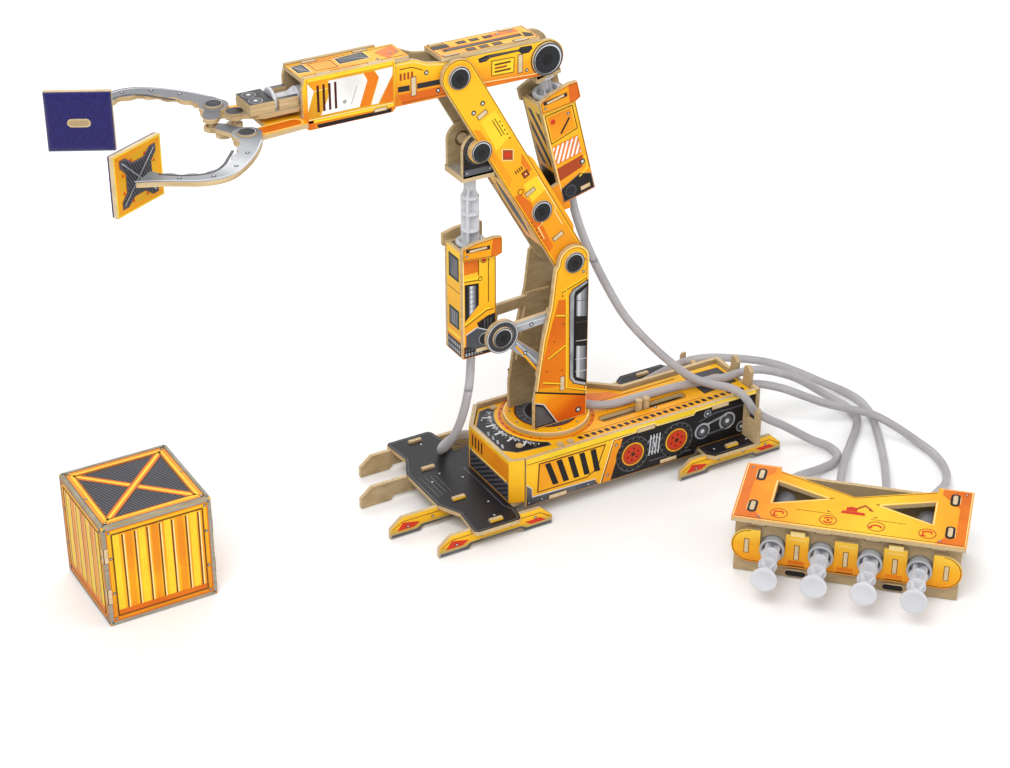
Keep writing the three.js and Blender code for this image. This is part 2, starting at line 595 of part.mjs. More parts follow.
function claw(pinBottom) {
  return join(
    slabXY(clawOutline(), CLAW_Z, CLAW_Z + BOARD),
    slabXY(disc(CLAW_PIVOT[0], CLAW_PIVOT[1], 7.6, 28), CLAW_Z, CLAW_Z + BOARD),
    slabXY(disc(CLAW_PIVOT[0], CLAW_PIVOT[1], 5.2), CLAW_Z + BOARD - 0.2, CLAW_Z + BOARD + 0.9),
    slabXY(bar(CLAW_PIVOT, LEVER_END, 4.2), CLAW_Z, CLAW_Z + BOARD),
    slabXY(disc(LEVER_END[0], LEVER_END[1], 1.5, 16), pinBottom, CLAW_Z + 1),
  );
}

function link(z0) {
  return cut(
    slabXY(bar(TONGUE_PIN, LEVER_END, 4, 10), z0, z0 + 2.2),
    slabXY(disc(TONGUE_PIN[0], TONGUE_PIN[1], 1.8, 16), z0 - 1, z0 + 4),
    slabXY(disc(LEVER_END[0], LEVER_END[1], 2.4, 16), z0 - 1, z0 + 4),
  );
}

// The pad's board and foam, with the slot that the claw's tab goes into.
function pad() {
  const plate = slabXZ(rect(-PAD_W / 2, -PAD_H / 2, PAD_W / 2, PAD_H / 2), 0, 5);
  return cut(plate, slabXZ(bar([-5, 0], [5, 0], 2.2), 3.5, 6));
}

const NEAR_LINK_Z = 261.5;
const FAR_LINK_Z = 259;
piece(design, 'claw_near', claw(NEAR_LINK_Z), GREY);
piece(design, 'link_near', link(NEAR_LINK_Z), BLACK);
const farClaw = join(claw(FAR_LINK_Z).scale(1, -1, 1));
piece(design, 'claw_far', flipped(farClaw), GREY);
piece(design, 'link_far', flipped(link(FAR_LINK_Z).scale(1, -1, 1)), BLACK);

// Mirroring turns the faces inside out, so their corners are taken in the other order.
function flipped(geometry) {
  const index = geometry.index.array;
  for (let i = 0; i < index.length; i += 3) [index[i], index[i + 1]] = [index[i + 1], index[i]];
  geometry.computeVertexNormals();
  return geometry;
}

const nearPad = piece(design, 'pad_near', pad(), NAVY);
nearPad.position.set(PAD_AT[0], PAD_AT[1], PAD_Z);
nearPad.rotation.z = PAD_YAW;
const farPad = piece(design, 'pad_far', pad().rotateZ(Math.PI), NAVY);
farPad.position.set(PAD_AT[0], -PAD_AT[1], PAD_Z);
farPad.rotation.z = -PAD_YAW;

// ---------------------------------------------------------------- console
// Local +Y points to the arm; the plungers come out towards -Y.
const desk = new THREE.Group();
desk.position.set(CONSOLE_AT[0], CONSOLE_AT[1], 0);
desk.rotation.z = CONSOLE_YAW;
design.add(desk);

const TOP_UNDER = CONSOLE_TOP - BOARD;
const FRONT_PLATE_Y = -21.2; // inner face
const REAR_PLATE_Y = 24;
const HOLDER_Y = FRONT_PLATE_Y - 2 * BOARD - GAP; // outer face
const CONSOLE_FLANGE_Y = HOLDER_Y - 2 - GAP;
const deskAxes = [-1.5, -0.5, 0.5, 1.5].map((k) => k * CONSOLE_PITCH);

function consoleTop() {
  const w = CONSOLE_W / 2;
  const d = CONSOLE_D / 2;
  const points = [[-w, -d], [w, -d], [w, d], [44, d], [44, 24.6], [0, 7.6], [-44, 24.6], [-44, d], [-w, d]];
  const window = [[-43.6, 13.4], [-43.6, -9], [-15, 2.4]];
  return slabXY(points, TOP_UNDER, CONSOLE_TOP, [window, window.map(([x, y]) => [-x, y])]);
}
piece(desk, 'console_top', consoleTop(), YELLOW);

// Frame: front and rear boards with a cut for each syringe, and two end boards between them.
function consoleFrame() {
  const w = CONSOLE_W / 2 - 2;
  const under = TOP_UNDER - GAP;
  const bore = (x, r) => disc(x, CONSOLE_AXIS_Z, r);
  const front = slabXZ(rect(-w, 0, w, under), FRONT_PLATE_Y - BOARD, FRONT_PLATE_Y, deskAxes.map((x) => bore(x, 7.2)));
  const rear = slabXZ(rect(-w, 0, w, under), REAR_PLATE_Y, REAR_PLATE_Y + BOARD, deskAxes.map((x) => bore(x, 4.4)));
  const ends = [-1, 1].map((s) => {
    const x = s * 53.6;
    return block(x - BOARD / 2, FRONT_PLATE_Y - 1, 3, x + BOARD / 2, REAR_PLATE_Y + 1, under);
  });
  return join(front, rear, ...ends);
}
piece(desk, 'console_frame', consoleFrame(), BARE);

function consoleHolder() {
  const half = 10.5;
  const z = CONSOLE_AXIS_Z;
  const plate = slabXZ(bar([-52.5, z], [52.5, z], half, 12), HOLDER_Y, HOLDER_Y + BOARD);
  const notches = deskAxes.map((x) => {
    const cutShape = [[x - 7, z + 12], ...arc(x, z, 7, 180, 360, 10), [x + 7, z + 12]];
    return slabXZ(cutShape, HOLDER_Y - 1, HOLDER_Y + BOARD + 1);
  });
  const lugs = [-1, 1].map((s) =>
    slabXZ(rect(s * CONSOLE_PITCH - 4, z + half - 1, s * CONSOLE_PITCH + 4, z + half + 2.4), HOLDER_Y, HOLDER_Y + BOARD));
  return join(cut(plate, ...notches), ...lugs);
}
piece(desk, 'console_holder', consoleHolder(), YELLOW);

const CHANNELS = ['reach', 'grip', 'lift', 'slew']; // left to right, seen from the front
const CONSOLE_DISC_Y = -58;
deskAxes.forEach((x, i) => {
  const barrel = barrelGeometry().rotateX(-Math.PI / 2).rotateZ(Math.PI);
  piece(desk, `console_barrel_${CHANNELS[i]}`, barrel.translate(x, CONSOLE_FLANGE_Y, CONSOLE_AXIS_Z), CLEAR);
  const plunger = plungerGeometry(60).rotateX(-Math.PI / 2).rotateZ(Math.PI);
  piece(desk, `console_plunger_${CHANNELS[i]}`, plunger.translate(x, CONSOLE_DISC_Y, CONSOLE_AXIS_Z), CLEAR);
});

// ---------------------------------------------------------------- crate
const crate = new THREE.Group();
crate.position.set(CRATE_AT[0], CRATE_AT[1], 0);
design.add(crate);
const crateBoards = cut(
  block(0, 0, 0, CRATE, CRATE, CRATE),
  block(BOARD, BOARD, -1, CRATE - BOARD, CRATE - BOARD, CRATE - BOARD),
);
piece(crate, 'crate', crateBoards, YELLOW);

// The origin goes to the middle of the bottom of the box around everything but the hoses.
const bounds = new THREE.Box3().setFromObject(design, true);
const middle = bounds.getCenter(new THREE.Vector3());
design.position.set(-middle.x, -middle.y, -bounds.min.z);

// ---------------------------------------------------------------- hoses
const ON_FLOOR = HOSE_R + 0.2;
const ON_DECK = DECK_TOP + HOSE_R + 0.6;
const consoleEnd = (i, back, z) => {
  const local = new THREE.Vector3(deskAxes[i], CONSOLE_FLANGE_Y + SYRINGE.length + 7.8 + back, z);
  return local.applyAxisAngle(new THREE.Vector3(0, 0, 1), CONSOLE_YAW).add(new THREE.Vector3(...CONSOLE_AT, 0)).toArray();
};
const into = (i) => [consoleEnd(i, 26, 13), consoleEnd(i, 12, 17.6), consoleEnd(i, 0, CONSOLE_AXIS_Z)];

const reachNozzle = along([0, 0], -REACH_TILT, [0, -82.9]);
const REACH_ROUTE = [
  [REACH_ROD[0] + reachNozzle[0], 0, REACH_ROD[1] + reachNozzle[1]], [17.6, 0, 166], [22.6, -1, 150],
  [29.5, -2, 133], [38.5, -3, 114], [50, -4, 93], [64, -7, 74], [78, -12, 58], [89, -20, 48], [98, -30, 45.5],
  [104, -38.6, 45.8], [107.8, -44.6, 43.6], [110.8, -48.2, 38.4], [114.4, -48.8, 32.4], [123, -51, 25.5],
  [133, -52.5, 19], [144, -54, 11], [153, -58, 5], [159, -65.5, 3], [158.5, -75, ON_FLOOR], [151, -81.5, ON_FLOOR],
  [140, -84, 3.4], ...into(0),
];
const GRIP_ROUTE = [
  [BOOM_PIVOT[0], 0, BOOM_PIVOT[1] - 4], [6.5, 0, 125], [4, 0, 100], [3.5, -1, 75], [8, -3, 57], [19, -8, 45.5],
  [34, -12.5, ON_DECK], [56, -14, ON_DECK], [78, -15, ON_DECK], [98, -18, ON_DECK + 0.3], [112, -22.4, 43],
  [122.5, -23.3, 44], [134, -24.5, 43], [148, -27, 38], [163, -26, 29], [177, -24, 18], [189, -25, 8.5],
  [196.5, -33, 3.6], [195.5, -45, ON_FLOOR], [186, -57, ON_FLOOR], [174, -68, ON_FLOOR], [161, -80, 3.4],
  [147, -95, 7.5], ...into(1),
];
const LIFT_ROUTE = [
  [LIFT_ROD[0], 0, LIFT_ROD[1] - 117.6], [-50, 0, 90], [-51.5, 0.5, 70], [-55, 4, 48], [-58.5, 12, 30],
  [-58, 23, 19.5], [-50, 33, 16.2], [-38, 38.5, 15.8], [-24, 39.5, 11], [-8, 38, 4], [10, 36.5, ON_FLOOR],
  [34, 35.5, ON_FLOOR], [54, 34.5, 4.5], [68, 33, 11], [81, 30.5, 18], [93, 26.5, 24.5], [103, 22.5, 30],
  [113.2, 20.2, 33], [125, 14, 35], [138, 6.5, 34.5], [153, 3, 30.5], [170, 3, 22.5], [186, 2, 13],
  [199, -4, 5.5], [207, -15, ON_FLOOR], [209, -30, ON_FLOOR], [205, -47, ON_FLOOR], [197, -63, ON_FLOOR],
  [186.5, -81, 3], [174, -100, 5], ...into(2),
];
const SLEW_ROUTE = [
  [SLEW_FLANGE_X + 60.3, SLEW_HOSE_Y, SLEW_Z], [97, SLEW_HOSE_Y, 23.2], [113.2, SLEW_HOSE_Y, 28.6],
  [122.4, SLEW_HOSE_Y, 31.6], [133, -23, 32.5], [146, -29, 29.5], [160, -35.5, 23], [174, -41, 16],
  [187, -47, 11.5], [197.5, -57.5, 9.8], [205, -70, 6], [209, -86, 3], [209, -103, ON_FLOOR], [203.5, -120, 3.2],
  [192, -135, 5.5], ...into(3),
];
piece(design, 'reach_hose', hose(REACH_ROUTE), HOSE);
piece(design, 'grip_hose', hose(GRIP_ROUTE), HOSE);
piece(design, 'lift_hose', hose(LIFT_ROUTE), HOSE);
piece(design, 'slew_hose', hose(SLEW_ROUTE), HOSE);
const boomHose = [
  onBoom(4, 0), onBoom(20, 2), onBoom(70, 2), onBoom(118, 2), onBoom(134, 2), [-66, 267.5], [-76, 271],
  [GRIP_FLANGE_X + 60.3, GRIP_AXIS_Z],
];
piece(design, 'grip_hose_boom', hose(boomHose.map(([x, z]) => [x, 0, z]), 8, 8), HOSE);

export default arm;
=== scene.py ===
"""Hydraulic arm kit: the looks.

Lengths are in millimetres of the design frame, whose Z axis is the turntable's.
"""

import math

import bpy
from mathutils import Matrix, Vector
from mathutils.geometry import tessellate_polygon


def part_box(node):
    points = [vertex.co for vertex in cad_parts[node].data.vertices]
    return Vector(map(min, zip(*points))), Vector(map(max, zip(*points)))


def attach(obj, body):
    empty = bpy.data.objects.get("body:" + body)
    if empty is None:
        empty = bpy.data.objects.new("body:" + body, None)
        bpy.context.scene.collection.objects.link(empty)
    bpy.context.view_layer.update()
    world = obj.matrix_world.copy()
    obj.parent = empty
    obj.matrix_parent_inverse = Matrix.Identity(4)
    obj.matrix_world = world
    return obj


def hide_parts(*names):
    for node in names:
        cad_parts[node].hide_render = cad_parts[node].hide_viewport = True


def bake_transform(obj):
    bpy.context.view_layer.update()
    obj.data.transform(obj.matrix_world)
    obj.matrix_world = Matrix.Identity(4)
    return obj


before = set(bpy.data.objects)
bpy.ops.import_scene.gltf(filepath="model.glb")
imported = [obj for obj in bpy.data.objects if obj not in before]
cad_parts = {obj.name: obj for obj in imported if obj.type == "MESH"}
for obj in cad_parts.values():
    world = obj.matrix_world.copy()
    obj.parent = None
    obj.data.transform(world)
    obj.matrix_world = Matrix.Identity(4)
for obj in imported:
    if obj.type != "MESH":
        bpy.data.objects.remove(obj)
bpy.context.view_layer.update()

# ---------------------------------------------------------------- design frame
_low, _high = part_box("crate")
SHIFT_X = _low.x * 1000 + 281.5
SHIFT_Y = _low.y * 1000 + 18.6


def to_row(x, y, z):
    """A point of the design frame, in the row frame in metres."""
    return Vector(((x + SHIFT_X) / 1000, (y + SHIFT_Y) / 1000, z / 1000))


# ---------------------------------------------------------------- camera and light
def look_direction(azimuth, elevation):
    a, e = math.radians(azimuth), math.radians(elevation)
    return Vector((-math.sin(a) * math.cos(e), math.cos(a) * math.cos(e), -math.sin(e)))


camera = bpy.data.objects.new("camera", bpy.data.cameras.new("camera"))
bpy.context.scene.collection.objects.link(camera)
camera.location = to_row(-597.3, -991.7, 729.1)
camera.rotation_euler = look_direction(-29.87, 30.06).to_track_quat("-Z", "Y").to_euler()
camera.data.lens = 82.07
camera.data.sensor_width = 36
camera.data.clip_start = 0.01
bpy.context.scene.camera = camera

bpy.context.scene.view_settings.view_transform = "Standard"
world = bpy.data.worlds.new("studio")
world.use_nodes = True
world.node_tree.nodes["Background"].inputs[0].default_value = (1, 1, 1, 1)
world.node_tree.nodes["Background"].inputs[1].default_value = 0.62
bpy.context.scene.world = world


def area_light(name, at, target, size, watts):
    data = bpy.data.lights.new(name, "AREA")
    data.energy, data.size = watts, size
    lamp = bpy.data.objects.new(name, data)
    bpy.context.scene.collection.objects.link(lamp)
    lamp.location = to_row(*at)
    lamp.rotation_euler = (to_row(*target) - lamp.location).to_track_quat("-Z", "Y").to_euler()


area_light("key", (-700, -700, 1300), (-50, 0, 100), 0.9, 15)
area_light("fill", (900, -900, 700), (0, 0, 100), 1.2, 6)
area_light("back", (300, 900, 900), (0, 0, 100), 1.0, 6)


# ---------------------------------------------------------------- materials
def rgb(code):
    """A hex colour in linear RGBA."""
    channels = [int(code[i : i + 2], 16) / 255 for i in (1, 3, 5)]
    return tuple(c / 12.92 if c < 0.04045 else ((c + 0.055) / 1.055) ** 2.4 for c in channels) + (1.0,)


class Look:
    """A procedural material under construction."""

    def __init__(self, name, rough=0.5, coat=0.0):
        self.material = bpy.data.materials.new(name)
        self.material.use_nodes = True
        self.tree = self.material.node_tree
        self.shader = self.tree.nodes["Principled BSDF"]
        self.shader.inputs["Roughness"].default_value = rough
        self.shader.inputs["Coat Weight"].default_value = coat
        self.shader.inputs["Specular IOR Level"].default_value = 0.22
        self.coords = self.node("ShaderNodeTexCoord").outputs["Object"]

    def node(self, kind, **settings):
        made = self.tree.nodes.new(kind)
        for key, value in settings.items():
            setattr(made, key, value)
        return made

    def link(self, output, target):
        self.tree.links.new(output, target)

    def noise(self, scale, detail=3.0, stretch=None):
        tex = self.node("ShaderNodeTexNoise")
        tex.inputs["Scale"].default_value = scale
        tex.inputs["Detail"].default_value = detail
        source = self.coords
        if stretch:
            mapping = self.node("ShaderNodeMapping")
            mapping.inputs["Scale"].default_value = stretch
            self.link(source, mapping.inputs["Vector"])
            source = mapping.outputs["Vector"]
        self.link(source, tex.inputs["Vector"])
        return tex.outputs["Fac"]

    def ramp(self, value, stops, smooth=False):
        node = self.node("ShaderNodeValToRGB")
        band = node.color_ramp
        band.interpolation = "EASE" if smooth else "LINEAR"
        while len(band.elements) < len(stops):
            band.elements.new(0.5)
        for element, (at, colour) in zip(band.elements, stops):
            element.position = at
            element.color = rgb(colour) if isinstance(colour, str) else (colour, colour, colour, 1)
        self.link(value, node.inputs["Fac"])
        return node.outputs["Color"]

    def mix(self, a, b, factor, blend="MIX"):
        node = self.node("ShaderNodeMix", data_type="RGBA", blend_type=blend)
        if isinstance(factor, float):
            node.inputs[0].default_value = factor
        else:
            self.link(factor, node.inputs[0])
        for socket, value in ((node.inputs[6], a), (node.inputs[7], b)):
            if isinstance(value, tuple):
                socket.default_value = value
            else:
                self.link(value, socket)
        return node.outputs[2]

    def along(self, origin, direction, span, repeat=None):
        """0 to 1 over span mm from a design point along a direction; with repeat, 0 to 1 in each period."""
        offset = self.node("ShaderNodeVectorMath", operation="SUBTRACT")
        offset.inputs[1].default_value = to_row(*origin)
        self.link(self.coords, offset.inputs[0])
        dot = self.node("ShaderNodeVectorMath", operation="DOT_PRODUCT")
        dot.inputs[1].default_value = Vector(direction).normalized()
        self.link(offset.outputs[0], dot.inputs[0])
        scaled = self.node("ShaderNodeMath", operation="MULTIPLY")
        scaled.inputs[1].default_value = 1000 / (repeat or span)
        self.link(dot.outputs["Value"], scaled.inputs[0])
        if not repeat:
            return scaled.outputs[0]
        wrapped = self.node("ShaderNodeMath", operation="FRACT")
        self.link(scaled.outputs[0], wrapped.inputs[0])
        return wrapped.outputs[0]

    def bump(self, value, strength, distance):
        node = self.node("ShaderNodeBump")
        node.inputs["Strength"].default_value = strength
        node.inputs["Distance"].default_value = distance / 1000
        self.link(value, node.inputs["Height"])
        self.link(node.outputs["Normal"], self.shader.inputs["Normal"])

    def ink(self, colour, wear=0.10):
        """Printed colour with a little uneven ink and fine specks."""
        speck = self.ramp(self.noise(1400, 2), [(0.35, 1 - wear), (0.6, 1.0)])
        cloud = self.ramp(self.noise(60, 4), [(0.3, 1 - wear), (0.7, 1.0)])
        colour = self.mix(colour, speck, 1.0, "MULTIPLY")
        colour = self.mix(colour, cloud, 1.0, "MULTIPLY")
        self.link(colour, self.shader.inputs["Base Color"])
        self.bump(self.noise(500, 2), 0.12, 0.05)
        return self.material


def flat_ink(name, colour, rough=0.5, wear=0.12, coat=0.0):
    look = Look(name, rough, coat)
    return look.ink(rgb(colour), wear)


def cloudy_ink(name, first, second, scale=26, rough=0.42):
    look = Look(name, rough)
    return look.ink(look.ramp(look.noise(scale, 2), [(0.36, first), (0.64, second)], True), 0.07)


def graded_ink(name, origin, direction, span, stops, rough=0.42, repeat=None, smooth=True):
    look = Look(name, rough)
    value = look.along(origin, direction, span, repeat)
    return look.ink(look.ramp(value, stops, smooth), 0.07)


YELLOW, AMBER, ORANGE = "#f3b517", "#ec9a10", "#e0780c"
yellow = cloudy_ink("ink_yellow", YELLOW, AMBER)
amber = cloudy_ink("ink_amber", AMBER, "#e2850d")
orange = cloudy_ink("ink_orange", ORANGE, "#d2620c")
ochre = cloudy_ink("ink_ochre", "#d9a312", "#cf8a10")
pale = flat_ink("ink_pale_line", "#ffe39a", 0.45)
lemon = flat_ink("ink_lemon", "#f7d02c", 0.45)
brown = flat_ink("ink_brown_line", "#6b3a0c", 0.5)
rust = flat_ink("ink_rust", "#a8431a", 0.5)
scarlet = flat_ink("ink_scarlet", "#cf3414", 0.5)
black = flat_ink("ink_black", "#1d1a1b", 0.45, 0.35)
soot = flat_ink("ink_soot", "#2e2c2f", 0.5, 0.3)
slate = cloudy_ink("ink_slate", "#5d5e63", "#46474c", 60)
steel = cloudy_ink("ink_steel", "#a9abb0", "#7f8287", 70)
silver = flat_ink("ink_silver", "#cfd1d6", 0.35)
white = cloudy_ink("ink_white", "#f1eeea", "#dcd8d4", 40)
plum = flat_ink("ink_dark_red", "#4a120c", 0.5)


def board_material(name, light, dark, stretch):
    look = Look(name, 0.85)
    colour = look.ramp(look.noise(90, 5, stretch), [(0.3, dark), (0.7, light)])
    fibre = look.ramp(look.noise(900, 3, stretch), [(0.3, 0.86), (0.7, 1.0)])
    look.link(look.mix(colour, fibre, 1.0, "MULTIPLY"), look.shader.inputs["Base Color"])
    look.bump(look.noise(700, 3, stretch), 0.3, 0.08)
    return look.material


bare = board_material("board_face", "#b7a07c", "#a08964", (1, 1, 3))
core = board_material("board_edge", "#d3bb92", "#b89c70", (0.5, 0.5, 6))
pale_core = board_material("board_tab", "#dcc7a4", "#c9b189", (2, 2, 2))
grey_core = board_material("board_edge_grey", "#a5a091", "#8b8779", (1, 1, 5))


def foam_material():
    look = Look("foam_navy", 0.95)
    pores = look.noise(1600, 4)
    colour = look.ramp(pores, [(0.35, "#17134a"), (0.65, "#2a2468")])
    look.link(colour, look.shader.inputs["Base Color"])
    look.bump(pores, 0.6, 0.3)
    look.shader.inputs["Sheen Weight"].default_value = 0.3
    return look.material


foam = foam_material()


def clear_material(name, colour, rough, transmission, tint):
    look = Look(name, rough)
    mottled = look.ramp(look.noise(45, 2), [(0.3, colour), (0.7, tint)])
    look.link(mottled, look.shader.inputs["Base Color"])
    look.shader.inputs["Transmission Weight"].default_value = transmission
    look.shader.inputs["IOR"].default_value = 1.35
    look.bump(look.noise(160, 2), 0.08, 0.1)
    return look.material


syringe = clear_material("syringe_plastic", "#d9dbe0", 0.22, 0.4, "#cdd0d6")
plunger_white = clear_material("plunger_plastic", "#d6d6da", 0.35, 0.1, "#cbccd1")
hose_clear = clear_material("hose_plastic", "#c4c1c4", 0.3, 0.4, "#b5b1b5")
seal = flat_ink("rubber_seal", "#232326", 0.7)
rubber = flat_ink("cap_rubber", "#26282b", 0.55, 0.2)

mesh_look = Look("ink_mesh", 0.5)
_warp = mesh_look.along((0, 0, 0), (1, 0.35, 0.6), 1, 1.5)
_weft = mesh_look.along((0, 0, 0), (0.35, -1, -0.6), 1, 1.5)
_net = mesh_look.mix(
    mesh_look.ramp(_warp, [(0.35, "#2a292e"), (0.5, "#77767e")]),
    mesh_look.ramp(_weft, [(0.35, "#2a292e"), (0.5, "#77767e")]),
    0.5,
    "MULTIPLY",
)
_net = mesh_look.mix(_net, mesh_look.ramp(_warp, [(0.35, "#232227"), (0.55, "#55545c")]), 0.65)
mesh_print = mesh_look.ink(_net, 0.2)


# ---------------------------------------------------------------- outlines
BOARD = 2.5
CRATE = 62
PEG_R, PEG_HOLE_R, LOOSE_HOLE_R = 3, 3.4, 4.6
MAST_OUT, BRACKET_OUT = 15.6, 12.9
WALL_OUT, FRONT_X = 41.2, -47
DISC_TOP, DECK_TOP, PLATE_TOP = 41.2, 38.6, 13
SLEW_Y, SLEW_Z = -20.8, 21.5
GRIP_Z = 271.3
CONSOLE_AT = (98.65, -165.4)
CONSOLE_YAW = math.radians(-44.33)
CRATE_AT = (-281.5, -18.6)
BOOM_PIVOT, ELBOW = (7.8, 143.6), (-62.6, 267.6)
LIFT_ROD, REACH_ROD = (-49.8, 222.8), (-7.6, 266.2)
LIFT_FOOT, REACH_FOOT = (-36.8, 106.6), (-12.0, 178.8)
REACH_TILT = math.radians(-14.2)


def arc(u, v, r, start, end, steps=24):
    angles = [math.radians(start + (end - start) * i / steps) for i in range(steps + 1)]
    return [(u + r * math.cos(a), v + r * math.sin(a)) for a in angles]


def disc(u, v, r, sides=40):
    return arc(u, v, r, 0, 360 - 360 / sides, sides - 1)


def rect(u0, v0, u1, v1):
    return [(u0, v0), (u1, v0), (u1, v1), (u0, v1)]


def bar(a, b, half, steps=12):
    turn = math.degrees(math.atan2(b[1] - a[1], b[0] - a[0]))
    return arc(*a, half, turn + 90, turn + 270, steps) + arc(*b, half, turn - 90, turn + 90, steps)


def strip(points, width):
    """A line drawn with a width along an open polyline, as one outline."""
    half, left, right = width / 2, [], []
    for i, (u, v) in enumerate(points):
        before, after = points[max(i - 1, 0)], points[min(i + 1, len(points) - 1)]
        du, dv = after[0] - before[0], after[1] - before[1]
        size = math.hypot(du, dv) or 1.0
        if 0 < i < len(points) - 1:
            au, av = u - before[0], v - before[1]
            bu, bv = after[0] - u, after[1] - v
            la, lb = math.hypot(au, av), math.hypot(bu, bv)
            cosine = max(-1, min(1, (au * bu + av * bv) / (la * lb)))
            widen = 1 / max(0.5, math.cos(math.acos(cosine) / 2))
        else:
            widen = 1
        nu, nv = -dv / size * half * widen, du / size * half * widen
        left.append((u + nu, v + nv))
        right.append((u - nu, v - nv))
    return left + right[::-1]


def ring_strips(points, width):
    """A closed line as one strip for each side."""
    return [strip([points[i], points[(i + 1) % len(points)]], width) for i in range(len(points))]


def tick(centre, angle, radii, width):
    """A short radial line between two radii."""
    return strip([(centre[0] + math.cos(angle) * r, centre[1] + math.sin(angle) * r) for r in radii], width)


def inset(points, by):
    """An outline moved inwards by a distance."""
    area = sum(a[0] * b[1] - b[0] * a[1] for a, b in zip(points, points[1:] + points[:1]))
    sign = 1 if area > 0 else -1
    moved = []
    for i, (u, v) in enumerate(points):
        (pu, pv), (nu, nv) = points[i - 1], points[(i + 1) % len(points)]
        a, b = Vector((u - pu, v - pv)).normalized(), Vector((nu - u, nv - v)).normalized()
        normal = Vector((-a.y - b.y, a.x + b.x)) * sign
        if normal.length < 1e-6:
            normal = Vector((-a.y, a.x)) * sign
        normal.normalize()
        spread = max(0.4, normal.dot(Vector((-a.y, a.x)) * sign))
        moved.append((u + normal.x * by / spread, v + normal.y * by / spread))
    return moved


# ---------------------------------------------------------------- planes
class Plane:
    """A drawing plane: u and v on it, w out of it, each a design direction, from a design origin."""

    def __init__(self, origin, u, v, w=None):
        self.origin, self.u, self.v = Vector(origin), Vector(u).normalized(), Vector(v).normalized()
        self.w = Vector(w) if w else self.u.cross(self.v)
        self.mirrored = self.u.cross(self.v).dot(self.w) < 0

    def __call__(self, u, v, w=0.0):
        return to_row(*(self.origin + self.u * u + self.v * v + self.w * w))


TOP = Plane((0, 0, 0), (1, 0, 0), (0, 1, 0))  # w is Z


def side_face(side, y, pivot=(0, 0), tilt=0.0):
    """A board face square to Y; u and v are X and Z from the pivot, tilted; side -1 faces -Y."""
    ex, ez = tilted(tilt)
    return Plane((pivot[0], side * y, pivot[1]), ex, ez, (0, side, 0))


def front_face(x):
    """Faces -X; u is Y and v is Z."""
    return Plane((x, 0, 0), (0, 1, 0), (0, 0, 1), (-1, 0, 0))


def rear_face(x):
    """Faces +X; u is Y and v is Z."""
    return Plane((x, 0, 0), (0, 1, 0), (0, 0, 1))


def tilted(tilt):
    """Local X and Z turned about Y."""
    return Vector((math.cos(tilt), 0, -math.sin(tilt))), Vector((math.sin(tilt), 0, math.cos(tilt)))


